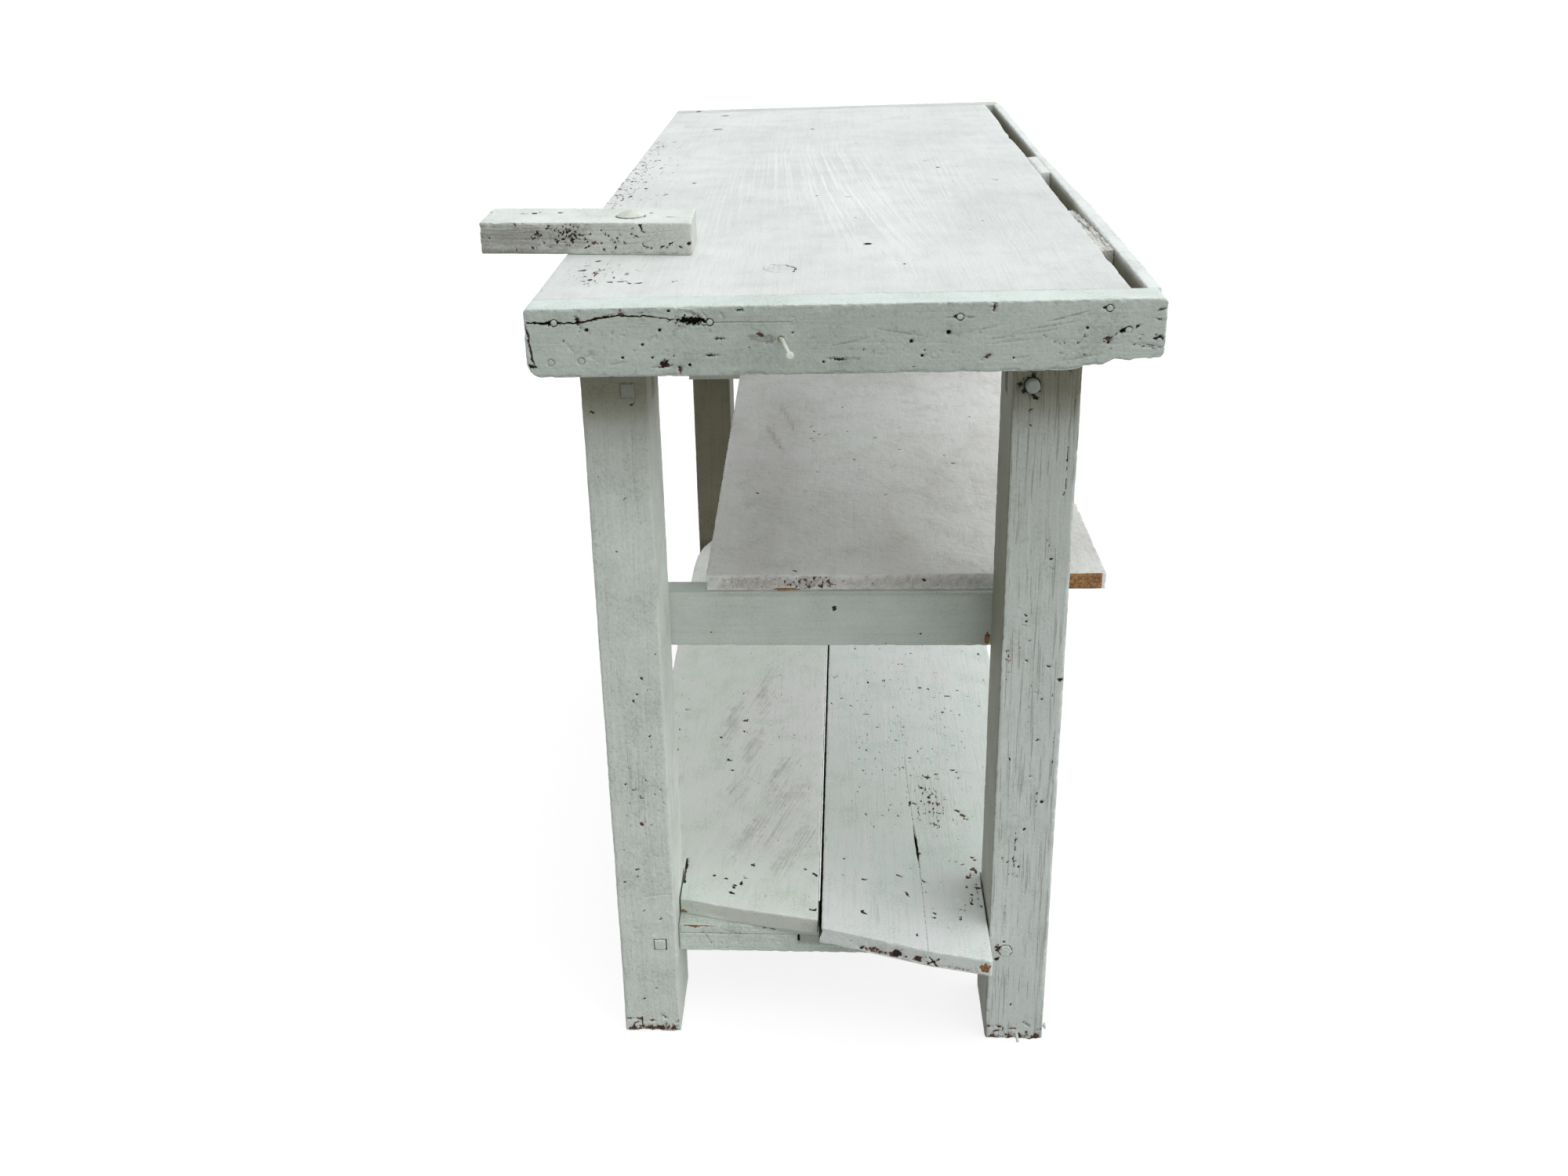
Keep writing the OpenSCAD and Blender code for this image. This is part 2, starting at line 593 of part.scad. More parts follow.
crack_line = [
    [-260, 828], [-226, 827], [-207, 827.2], [-191, 830.6], [-174, 832.4], [-148, 832], [-120, 828.6], [-96, 826.6]
];
module end_cap_near() color(paint) bench() difference() {
    prism_x(-cap_t, 0) difference() {
        cap_outline();
        polygon([
            [203, cap_z - 1], [209, cap_z + 3], [217, cap_z + 4.5], [224, cap_z + 4], [232, cap_z + cap_worn],
            [246, cap_z + cap_worn - 1], [254, cap_z + cap_worn + 0.5], [262, cap_z + cap_worn],
            [rail_out - 4, cap_z + cap_worn + 1.5], [rail_out + 1, cap_z + cap_worn + 6], [rail_out + 1, cap_z - 1]
        ]);
    }
    cap_nail_holes();
    translate([0, 0, bench_h - 840]) {
        prism_x(-crack_depth, 1) polygon(band(crack_line, crack_gap));
        prism_x(-crack_depth - 3, 1) polygon([
            [-121, 828.4], [-117, 830.2], [-104, 829.4], [-99, 828], [-100, 825.4], [-115, 825.2]
        ]);
        prism_x(-3, 1) polygon([[-244, 823], [-242.6, 823], [-238, 800], [-236.5, 797], [-239, 798]]);
    }
    for (p = [[-199.4, 821, 3.6], [98.4, 814, 4.2], [238.2, 812.4, 4.8], [-138, 820, 3], [-130, 836, 3]])
        translate([-9, p[0], p[1] - 840 + bench_h]) rotate([0, 90, 0]) cylinder(d = p[2], h = 10, $fn = 24);
    translate([-30, -40, bench_h - 29]) rotate([0, 90, 0]) cylinder(d = 3.2 + 2 * nail_play, h = 31);
    chip([0, -237, cap_z + 10], [4, 12, 8], [10, 25, 20]);
    chip([0, -134.7, cap_z + 10], [5, 9, 6], [45, 20, 10]);
}
module end_cap_far() color(paint) bench() difference() {
    prism_x(far_x, far_x + cap_t) cap_outline();
    to_far_cap() cap_nail_holes();
}

// Tool rail behind the slots.
module tool_rail() color(paint) bench() difference() {
    prism_z(cap_z, bench_h) polygon(concat(
        [[far_x + cap_t, rail_in], [-cap_t, rail_in]],
        [for (p = rail_bow) [-cap_t - p[0] * rail_len, rail_out + p[1]]]
    ));
    at_rail_nails() rail_nail_hole();
    cap_nail_holes();
    to_far_cap() cap_nail_holes();
}

// Rough spacer: its top is split off, deep at its far end and hardly at the near one, and splintered.
// Each step is the share of the length from the far end and the share of the drop that is gone there.
rough_steps = [
    [0, 1], [0.04, 0.78], [0.1, 0.9], [0.16, 0.62], [0.22, 0.8], [0.27, 0.55], [0.33, 0.68], [0.38, 0.42],
    [0.45, 0.55], [0.5, 0.3], [0.56, 0.42], [0.62, 0.2], [0.69, 0.31], [0.75, 0.12], [0.82, 0.21], [0.88, 0.08],
    [0.94, 0.14], [1, 0.06]
];
module spacer_rough() color(wood) bench() difference() {
    prism_y(slab_b, rail_in) translate([-x_mid, bench_h]) polygon(concat(
        [[rough_len, -top_t], [0, -top_t]],
        [for (p = rough_steps) [p[0] * rough_len, -p[1] * rough_drop]]
    ));
    chip([-x_mid + 30, rail_in, bench_h - 3], [90, 8, 9], [24, 3, 2]);
    chip([-x_mid + 96, slab_b, bench_h - rough_drop], [46, 4, 6], [30, 3, 4]);
    chip([-x_mid + 150, rail_in, bench_h - 1], [70, 4, 5], [35, 2, 2]);
    at_rail_nails() rail_nail_hole();
}
module spacer_flush() color(paint) bench() difference() {
    prism_y(slab_b, rail_in) translate([-x_last, cap_z]) square([flush_len, top_t]);
    at_rail_nails() rail_nail_hole();
}

// Pegs, in both ends.
module both_ends() {
    near_end() children();
    far_end() children();
}
module pegs_upper_square() color(paint_dark) bench() both_ends() at_peg(-1, peg_z)
    translate([-0.6, -square_peg / 2, -square_peg / 2]) cube([peg_len + 0.6, square_peg, square_peg]);
module pegs_upper_round() color(paint_dark) bench() both_ends() at_peg(1, peg_z)
    translate([-peg_proud, 0, 0]) rotate([0, 90, 0]) cylinder(d = round_peg, h = peg_len + peg_proud);
module pegs_lower_square() color(paint_dark) bench() both_ends() at_peg(-1, low_peg_z)
    translate([-1.2, -low_peg / 2, -low_peg / 2]) cube([peg_len + 1.2, low_peg, low_peg]);
module pegs_lower_hex() color(paint_dark) bench() both_ends() at_peg(1, low_peg_z)
    translate([-1.2, 0, 0]) rotate([0, 90, 0]) cylinder(r = low_peg / 2 / cos(30), h = peg_len + 1.2, $fn = 6);

// Nails.
module cap_nails_near() color(steel) bench() cap_nails();
module cap_nails_far() color(steel) bench() to_far_cap() cap_nails();
module rail_nails() color(steel) bench() at_rail_nails() rail_nail();
module slab_nails() color(steel) bench() at_slab_nails() slab_nail();
module slab_plugs() color(wood) bench() at_plugs() cylinder(d = plug_d, h = 11.6);
module bearer_nails() color(steel) bench() both_ends() at_bearer_nails() bearer_nail();
module plank_nails() color(steel) bench() at_plank_nails() plank_nail();

// The nail that was left standing in the near cap and hammered over.
module bent_nail() color(steel) bench() translate([0, -40, bench_h - 29]) {
    rod([-30, 0, 0], [7.6, 0, 0], 3.2);
    rod([6.2, -0.4, 0.4], [bent_tip - 2.4, 6.2, -7.6], 3.2);
    rod([bent_tip - 3, 5.7, -7], [bent_tip - 0.3, 9.9, -13.4], 3.2);
    rod([bent_tip - 0.6, 9.4, -12.7], [bent_tip, 10.4, -14.2], bent_head);
}

// Two nails left in the foot of the near back leg.
module foot_nail_holes() {
    translate([-near_over - 8, leg_out, 14]) rotate([0, 0, 90])
        translate([-20, 0, 0]) rotate([0, 90, 0]) cylinder(d = 3.2 + 2 * nail_play, h = 22);
    translate([-near_over - 20, leg_in + 34, 9]) rotate([0, 90, 0]) cylinder(d = 3.2 + 2 * nail_play, h = 22);
}
module foot_nails() color(steel) bench() {
    translate([-near_over - 8, leg_out, 14]) rotate([0, 0, 90]) translate([3.6, 0, 0]) nail(6.8, 1.6, 3.2, 23.6);
    translate([-near_over - 20, leg_in + 34, 9]) {
        rotate([0, 90, 0]) cylinder(d = 3.2, h = 24);
        rod([22.8, -0.3, 0.7], [28, 1, -4.6], 3.2);
    }
}

// Swing bar in its own coordinates: the bolt is at 0, the long arm points to the front.
// Its ends are sawn askew; x runs across the bar and y0 is the end on the bolt's own line.
function end_y(x, y0) = y0 + x * tan(end_skew);
module at_bolt() translate([-bolt_back, -bolt_front, 0]) rotate([0, 0, -bar_angle]) children();
module swing_bar() color(paint) bench() at_bolt() difference() {
    intersection() {
        prism_y(-long_arm - bar_far, bar_short + bar_near)
            bevelled([-bar_far, bench_h], [bar_near, bench_h + bar_h], bar_bevel);
        prism_z(bench_h - 1, bench_h + bar_h + 1) polygon([
            [bar_near, end_y(bar_near, -long_arm)], [bar_near, end_y(bar_near, bar_short)],
            [-bar_far, end_y(-bar_far, bar_short)], [-bar_far, end_y(-cut_far, -long_arm) + bar_cut],
            [-cut_far, end_y(-cut_far, -long_arm)]
        ]);
    }
    translate([0, 0, bench_h - 1]) cylinder(d = bolt_d + 2 * bolt_play, h = bar_h + 2);
    translate([-bolt_d / 2 - bolt_play, -bolt_d / 2 - bolt_play, bench_h + bar_h - 6])
        cube([bolt_d + 2 * bolt_play, bolt_d + 2 * bolt_play, 7]);
    chip([bar_near, end_y(bar_near, -long_arm), bench_h + bar_h], [5, 5, 5], [40, 35, 45]);
    chip([bar_near, -long_arm + 72, bench_h + bar_h], [3, 22, 3], [0, 45, 3]);
}
dome_r = (head_d * head_d / 4 + head_rise * head_rise) / (2 * head_rise);
module carriage_bolt() color(steel) bench() at_bolt() {
    intersection() {
        translate([0, 0, bench_h + bar_h + head_rise - dome_r]) sphere(r = dome_r, $fn = 96);
        translate([0, 0, bench_h + bar_h]) cylinder(d = head_d + 4, h = head_rise + 4);
    }
    translate([-bolt_d / 2, -bolt_d / 2, bench_h + bar_h - 6]) cube([bolt_d, bolt_d, 6 + eps]);
    translate([0, 0, cap_z - washer_t - nut_h - 6]) cylinder(d = bolt_d, h = top_t + bar_h + washer_t + nut_h + 6);
}
module bolt_washer() color(steel) bench() at_bolt() translate([0, 0, cap_z - washer_t]) difference() {
    cylinder(d = washer_d, h = washer_t);
    translate([0, 0, -1]) cylinder(d = bolt_d + 2 * run_play, h = washer_t + 2);
}
module bolt_nut() color(steel) bench() at_bolt() translate([0, 0, cap_z - washer_t - nut_h]) difference() {
    cylinder(r = nut_w / 2 / cos(30), h = nut_h, $fn = 6);
    translate([0, 0, -1]) cylinder(d = bolt_d + 2 * bolt_play, h = nut_h + 2);
}

top_slab();
end_cap_near();
end_cap_far();
tool_rail();
spacer_rough();
spacer_flush();
leg_front_near();
leg_back_near();
leg_front_far();
leg_back_far();
upper_rail_near();
upper_rail_far();
lower_rail_near();
lower_rail_far();
shelf_bearer_near();
shelf_bearer_far();
shelf_board();
plank_front();
plank_back();
pegs_upper_square();
pegs_upper_round();
pegs_lower_square();
pegs_lower_hex();
cap_nails_near();
cap_nails_far();
rail_nails();
slab_nails();
slab_plugs();
bearer_nails();
plank_nails();
bent_nail();
foot_nails();
swing_bar();
carriage_bolt();
bolt_washer();
bolt_nut();
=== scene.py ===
import bpy
import math
import numpy as np
from mathutils import Matrix, Vector


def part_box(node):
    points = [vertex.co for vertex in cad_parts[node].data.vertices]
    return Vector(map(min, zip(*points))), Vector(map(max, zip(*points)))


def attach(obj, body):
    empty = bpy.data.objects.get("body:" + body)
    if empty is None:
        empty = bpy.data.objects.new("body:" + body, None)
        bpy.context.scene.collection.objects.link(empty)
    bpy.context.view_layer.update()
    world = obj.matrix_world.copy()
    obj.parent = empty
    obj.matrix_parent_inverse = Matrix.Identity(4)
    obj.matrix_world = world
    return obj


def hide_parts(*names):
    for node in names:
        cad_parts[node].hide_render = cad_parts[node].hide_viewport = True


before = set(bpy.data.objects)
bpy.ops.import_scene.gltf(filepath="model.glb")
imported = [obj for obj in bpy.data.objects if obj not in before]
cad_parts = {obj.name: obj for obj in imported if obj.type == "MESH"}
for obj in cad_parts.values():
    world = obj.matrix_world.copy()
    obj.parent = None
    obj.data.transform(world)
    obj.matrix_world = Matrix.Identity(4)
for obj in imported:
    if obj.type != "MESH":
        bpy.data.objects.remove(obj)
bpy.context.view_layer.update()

# All places here are bench millimetres: x is 0 at the face of the near cap and runs negative along
# the bench, y is 0 midway between the legs, z is 0 on the floor. SHIFT takes them to the frame.
slab_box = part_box("top_slab")
SHIFT = np.array([
    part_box("end_cap_near")[1].x * 1000.0,
    (slab_box[0].y + slab_box[1].y) * 500.0,
    0.0,
])


def corners(node):
    """The corners of a CAD node's box, in bench millimetres."""
    low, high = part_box(node)
    return np.array(low) * 1000.0 - SHIFT, np.array(high) * 1000.0 - SHIFT


SLAB_LOW, SLAB_HIGH = corners("top_slab")
CAP_LOW, CAP_HIGH = corners("end_cap_near")
LEG_LOW, LEG_HIGH = corners("leg_back_near")
FAR_LEG_LOW, FAR_LEG_HIGH = corners("leg_back_far")
# the working surface, the underside of the top, and the thickness of a cap
BENCH, CAP_Z, CAP_T = SLAB_HIGH[2], SLAB_LOW[2], -CAP_LOW[0]
# the front end of a cap, the two sides of the tool rail, and the far end of the top
CAP_F, RAIL_IN, RAIL_OUT = CAP_LOW[1], corners("tool_rail")[0][1], CAP_HIGH[1]
FAR_X = corners("end_cap_far")[0][0]
# the inner and outer side of a leg, the two faces of a near leg, and those of a far leg
LEG_IN, LEG_OUT = LEG_LOW[1], LEG_HIGH[1]
NEAR_BACK, NEAR_X = LEG_LOW[0], LEG_HIGH[0]
FAR_END, FAR_FRONT = FAR_LEG_LOW[0], FAR_LEG_HIGH[0]
# the undersides of the shelf and of the planks
SHELF_Z = corners("shelf_bearer_near")[1][2]
PLANK_Z = corners("lower_rail_near")[1][2]
# the tenon pegs, the middle of the mortises behind a leg's end face, and the mortises' open ends
PEG_Y, PEG_Z, LOW_PEG_Z = LEG_IN + 18.0, BENCH - 104.0, PLANK_Z - 10.0
MORTISE_BACK, MORTISE_HALF, MORTISE_Z = 48.0, 6.8, (717, 741)


# Noise and helpers
def hashed(cell, seed):
    """A number from 0 to 1 for each whole-numbered cell; large odd factors scramble its bits."""
    n = (cell[..., 0] * 73856093) ^ (cell[..., 1] * 19349663) ^ (cell[..., 2] * 83492791)
    n = n ^ (seed * 668265263)
    n = (n ^ (n >> 13)) * 1274126177
    n = n & 0x7FFFFFFF
    n = (n ^ (n >> 15)) * 2246822519
    n = (n ^ (n >> 13)) & 0xFFFF
    return n / 65535.0


def noise(points, seed=0):
    """Smooth value noise from 0 to 1."""
    points = np.asarray(points, float)
    cell = np.floor(points).astype(np.int64)
    f = points - cell
    ease = f * f * f * (f * (f * 6 - 15) + 10)
    total = 0.0
    for corner in range(8):
        bits = np.array([corner & 1, (corner >> 1) & 1, corner >> 2])
        weight = np.prod(np.where(bits == 1, ease, 1 - ease), axis=1)
        total = total + weight * hashed(cell + bits, seed)
    return total


def fractal(points, seed=0, octaves=3):
    """A few octaves of noise, from 0 to 1."""
    points = np.asarray(points, float)
    total = np.zeros(len(points))
    size, norm = 1.0, 0.0
    for k in range(octaves):
        total += size * noise(points * 2.03 ** k + 17.3 * k, seed + 31 * k)
        norm += size
        size *= 0.5
    return total / norm


def smoothstep(a, b, x):
    """0 up to a, 1 from b, and a smooth rise between; a may be above b."""
    t = np.clip((x - a) / (b - a), 0, 1)
    return t * t * (3 - 2 * t)


# The lattice over the six faces of a board
# places of the lines at an edge, in radii of its rounding, and the least room between two lines
EDGE_LINES = (0.0, 0.14, 0.32, 0.55, 0.82, 1.15, 1.6)
LEAST_STEP = 0.17


def lines(low, high, step, radius, bands=()):
    """Lattice lines from low to high, close at the rounded edges and in each band (a, b, step)."""
    radius = min(radius, (high - low) / 4)
    edge = [e * radius for e in EDGE_LINES]
    values = [low + e for e in edge]
    v = low + edge[-1]
    end = high - edge[-1]
    while v < end:
        here = step
        for a, b, fine in bands:
            if a <= v < b:
                here = min(here, fine)
            elif v < a < v + here:
                here = max(a - v, 0.2)
        v += here
        values.append(v)
    values = [v for v in values if v < end] + [high - e for e in edge[::-1]]
    keep = [values[0]]
    for v in values[1:]:
        if v - keep[-1] > LEAST_STEP:
            keep.append(v)
    keep[-1] = high
    return np.array(keep)


def box_lattice(xs, ys, zs):
    """Points, the side each lies on, and quads of a closed box of lattice faces."""
    nx, ny, nz = len(xs), len(ys), len(zs)
    quads = []

    def at(i, j, k):
        return (i * ny + j) * nz + k

    def add(a, b, c, d, flip):
        ring = [a, d, c, b] if flip else [a, b, c, d]
        quads.append(np.stack(ring, -1).reshape(-1, 4))

    for far in (0, 1):
        i = np.full((ny - 1, nz - 1), far * (nx - 1))
        j, k = np.meshgrid(np.arange(ny - 1), np.arange(nz - 1), indexing="ij")
        add(at(i, j, k), at(i, j + 1, k), at(i, j + 1, k + 1), at(i, j, k + 1), far == 0)
        j = np.full((nz - 1, nx - 1), far * (ny - 1))
        k, i = np.meshgrid(np.arange(nz - 1), np.arange(nx - 1), indexing="ij")
        add(at(i, j, k), at(i, j, k + 1), at(i + 1, j, k + 1), at(i + 1, j, k), far == 0)
        k = np.full((nx - 1, ny - 1), far * (nz - 1))
        i, j = np.meshgrid(np.arange(nx - 1), np.arange(ny - 1), indexing="ij")
        add(at(i, j, k), at(i + 1, j, k), at(i + 1, j + 1, k), at(i, j + 1, k), far == 0)
    used, renumbered = np.unique(np.concatenate(quads), return_inverse=True)
    i, j, k = used // (ny * nz), (used // nz) % ny, used % nz
    points = np.stack([xs[i], ys[j], zs[k]], -1)
    side = np.stack([
        (i == nx - 1).astype(int) - (i == 0),
        (j == ny - 1).astype(int) - (j == 0),
        (k == nz - 1).astype(int) - (k == 0),
    ], -1)
    return points, side, renumbered.reshape(-1, 4)


class Marks:
    """Depth and colour of the marks on one board, laid at its lattice points."""

    FIELDS = ("bare", "dark", "speck", "grey", "light", "raw", "shade", "sweep")

    def __init__(self, points, side):
        self.points = points
        self.side = side
        self.depth = np.zeros(len(points))
        self.field = {name: np.zeros(len(points)) for name in self.FIELDS}
        self.known = {}

    def face(self, name):
        """The points on a face such as "x+", and their two coordinates along it."""
        if name not in self.known:
            axis = "xyz".index(name[0])
            index = np.nonzero(self.side[:, axis] == (1 if name[1] == "+" else -1))[0]
            rest = [a for a in range(3) if a != axis]
            self.known[name] = (index, self.points[index, rest[0]], self.points[index, rest[1]])
        return self.known[name]

    def lay(self, index, mask, deep=0.0, **levels):
        """Cuts in by deep, or stands out where deep is below zero, and raises levels of colour."""
        keep = np.minimum if deep < 0 else np.maximum
        self.depth[index] = keep(self.depth[index], mask * deep)
        for name, level in levels.items():
            field = self.field[name]
            field[index] = np.maximum(field[index], mask * level)

    def wash(self, face, **levels):
        """The same levels of colour over a whole face."""
        index = self.face(face)[0]
        self.lay(index, np.ones(len(index)), **levels)

    def fade(self, face, along, places, levels):
        """Shade that changes along the first (0) or the second (1) coordinate of a face."""
        index, *coordinates = self.face(face)
        self.lay(index, np.interp(coordinates[along], places, levels), shade=1.0)

    def hole(self, face, u, v, r, deep, dark=1.0, soft=0.35, rim=0.0):
        """A round hole of radius r; rim is how far bare wood reaches around it."""
        index, a, b = self.face(face)
        d = np.hypot(a - u, b - v)
        near = d < r + soft + rim
        index, d = index[near], d[near]
        self.lay(index, 1 - smoothstep(r - soft, r + soft, d), deep, dark=dark)
        if rim:
            self.lay(index, 1 - smoothstep(r, r + rim, d), bare=0.8)

    def ring(self, face, u, v, r, width, deep, dark=0.6):
        """A thin round line, as around a nail head or a peg that was painted over."""
        index, a, b = self.face(face)
        d = np.abs(np.hypot(a - u, b - v) - r)
        self.lay(index, 1 - smoothstep(width * 0.3, width, d), deep, dark=dark)

    def square(self, face, u, v, half, deep, dark=0.5):
        """A thin square line around a square peg."""
        index, a, b = self.face(face)
        d = np.abs(np.maximum(np.abs(a - u), np.abs(b - v)) - half)
        self.lay(index, 1 - smoothstep(0.35, 0.9, d), deep, dark=dark)

    def slab(self, face, u0, u1, v0, v1, deep, soft=0.5, **levels):
        """A straight-sided recess or patch."""
        index, a, b = self.face(face)
        across = smoothstep(u0 - soft, u0 + soft, a) * (1 - smoothstep(u1 - soft, u1 + soft, a))
        along = smoothstep(v0 - soft, v0 + soft, b) * (1 - smoothstep(v1 - soft, v1 + soft, b))
        self.lay(index, across * along, deep, **levels)

    def blob(self, face, u, v, ru, rv, turn=0.0, soft=0.35, rough=0.45, seed=1, deep=0.0, **levels):
        """A ragged oval patch; turn is in degrees and seed changes its outline."""
        index, a, b = self.face(face)
        c, s = math.cos(math.radians(turn)), math.sin(math.radians(turn))
        x = ((a - u) * c + (b - v) * s) / ru
        y = ((b - v) * c - (a - u) * s) / rv
        near = (np.abs(x) < 2.2) & (np.abs(y) < 2.2)
        if not near.any():
            return
        scale = 2.0 / max(min(ru, rv), 0.9)
        probe = np.stack([a[near] * scale, b[near] * scale, np.full(near.sum(), seed * 3.7)], -1)
        wobble = (fractal(probe, seed) - 0.5) * 2 * rough
        d = np.hypot(x[near], y[near]) + wobble
        self.lay(index[near], 1 - smoothstep(1 - soft, 1 + soft, d), deep, **levels)

    def pits(self, face, places, size=1.4, deep=0.8, dark=0.8, bare=0.7, seed=1):
        """Small ragged pits; each is two or three slivers that overlap."""
        rng = np.random.default_rng(seed)
        for k, (u, v) in enumerate(places):
            for part in range(rng.integers(2, 4)):
                r = size * rng.uniform(0.35, 0.85)
                x, y = u + rng.normal(0, 0.7) * size, v + rng.normal(0, 0.7) * size
                self.blob(face, x, y, r * rng.uniform(1.0, 2.4), r, rng.uniform(0, 180), 0.4, 0.8,
                          seed + 3 * k + part, deep, dark=dark * rng.uniform(0.5, 1.1), bare=bare)

    def scatter(self, face, u, v, ru, rv, count, size=1.1, seed=1, **more):
        """A loose cluster of pits."""
        rng = np.random.default_rng(seed)
        places = [(u + ru * rng.normal(0, 0.5), v + rv * rng.normal(0, 0.5)) for _ in range(count)]
        self.pits(face, places, size, seed=seed + 7, **more)

    def crack(self, face, path, widths, deep, dark=1.0, bare=0.0, jag=0.5, seed=3):
        """A jagged line of changing width; bare colours its two sides."""
        index, a, b = self.face(face)
        reach = max(widths) + 4.0
        lo, hi = np.min(path, axis=0) - reach, np.max(path, axis=0) + reach
        near = (a > lo[0]) & (a < hi[0]) & (b > lo[1]) & (b < hi[1])
        index, a, b = index[near], a[near], b[near]
        flat = np.zeros(len(a))
        a = a + (fractal(np.stack([flat, a * 0.25, b * 0.25], -1), seed) - 0.5) * jag * 2
        b = b + (fractal(np.stack([flat, a * 0.35, b * 0.35], -1), seed + 5) - 0.5) * jag * 2
        best, width = np.full(len(a), 1e9), np.ones(len(a))
        for p, q, w0, w1 in zip(path[:-1], path[1:], widths[:-1], widths[1:]):
            dx, dy = q[0] - p[0], q[1] - p[1]
            t = np.clip(((a - p[0]) * dx + (b - p[1]) * dy) / (dx * dx + dy * dy), 0, 1)
            d = np.hypot(a - p[0] - t * dx, b - p[1] - t * dy)
            w = w0 + (w1 - w0) * t
            nearer = d - w < best - width
            best = np.where(nearer, d, best)
            width = np.where(nearer, w, width)
        self.lay(index, 1 - smoothstep(width * 0.5, width * 0.5 + 0.45, best), deep, dark=dark)
        if bare:
            self.lay(index, 1 - smoothstep(width * 0.5, width * 0.5 + 1.5, best), bare=bare)


# an edge is named by the two faces that meet there
ALL_EDGES = (
    "x-y-", "x-y+", "x+y-", "x+y+", "x-z-", "x-z+",
    "x+z-", "x+z+", "y-z-", "y-z+", "y+z-", "y+z+",
)


def edge_scoops(low, high, rng, density, depth, radius, edges):
    """Spheres that nick the edges; density is nicks per 100 mm."""
    scoops = []
    for e in edges:
        first, second = "xyz".index(e[0]), "xyz".index(e[2])
        out_1, out_2 = (1 if e[1] == "+" else -1), (1 if e[3] == "+" else -1)
        along = 3 - first - second
        for _ in range(rng.poisson(density * (high[along] - low[along]) / 100.0)):
            centre, way = np.zeros(3), np.zeros(3)
            centre[first] = high[first] if out_1 > 0 else low[first]
            centre[second] = high[second] if out_2 > 0 else low[second]
            centre[along] = rng.uniform(low[along], high[along])
            angle = rng.uniform(0.15, 1.42)
            way[first] = math.cos(angle) * out_1
            way[second] = math.sin(angle) * out_2
            way[along] = rng.normal(0, 0.12)
            way /= np.linalg.norm(way)
            r = rng.uniform(*radius)
            d = min(depth * rng.gamma(1.6, 0.5), r * 0.6)
            scoops.append((centre + way * (r - d), r))
    return scoops


def scoop_out(p, scoops):
    """Pushes points out of the spheres and says how far each one moved."""
    moved = np.zeros(len(p))
    for centre, r in scoops:
        v = p - centre
        dist = np.linalg.norm(v, axis=1)
        inside = dist < r
        if inside.any():
            q = centre + v[inside] / np.maximum(dist[inside], 1e-6)[:, None] * r
            moved[inside] += np.linalg.norm(q - p[inside], axis=1)
            p[inside] = q
    return moved


def rounded(lattice, low, high, radius):
    """Lattice points drawn in to rounded edges, and the way out at each."""
    core = np.minimum(np.maximum(lattice, low + radius), high - radius)
    out = lattice - core
    normal = out / np.maximum(np.linalg.norm(out, axis=1, keepdims=True), 1e-9)
    return core + normal * radius, normal


def make_object(name, verts, faces, fields=None, smooth=True):
    """A mesh object from points in metres; an array of quads or a list of faces."""
    mesh = bpy.data.meshes.new(name)
    verts = np.asarray(verts, np.float32)
    if isinstance(faces, np.ndarray):
        mesh.vertices.add(len(verts))
        mesh.vertices.foreach_set("co", verts.ravel())
        mesh.loops.add(faces.size)
        mesh.loops.foreach_set("vertex_index", faces.astype(np.int32).ravel())
        mesh.polygons.add(len(faces))
        mesh.polygons.foreach_set("loop_start", np.arange(0, faces.size, 4, dtype=np.int32))
        mesh.polygons.foreach_set("loop_total", np.full(len(faces), 4, np.int32))
        mesh.update(calc_edges=True)
        mesh.validate()
    else:
        mesh.from_pydata([tuple(v) for v in verts.tolist()], [], faces)
        mesh.update()
    for key, values in (fields or {}).items():
        attribute = mesh.attributes.new(key, "FLOAT", "POINT")
        attribute.data.foreach_set("value", np.asarray(values, np.float32))
    mesh.polygons.foreach_set("use_smooth", np.full(len(mesh.polygons), smooth))
    thing = bpy.data.objects.new(name, mesh)
    bpy.context.scene.collection.objects.link(thing)
    return thing


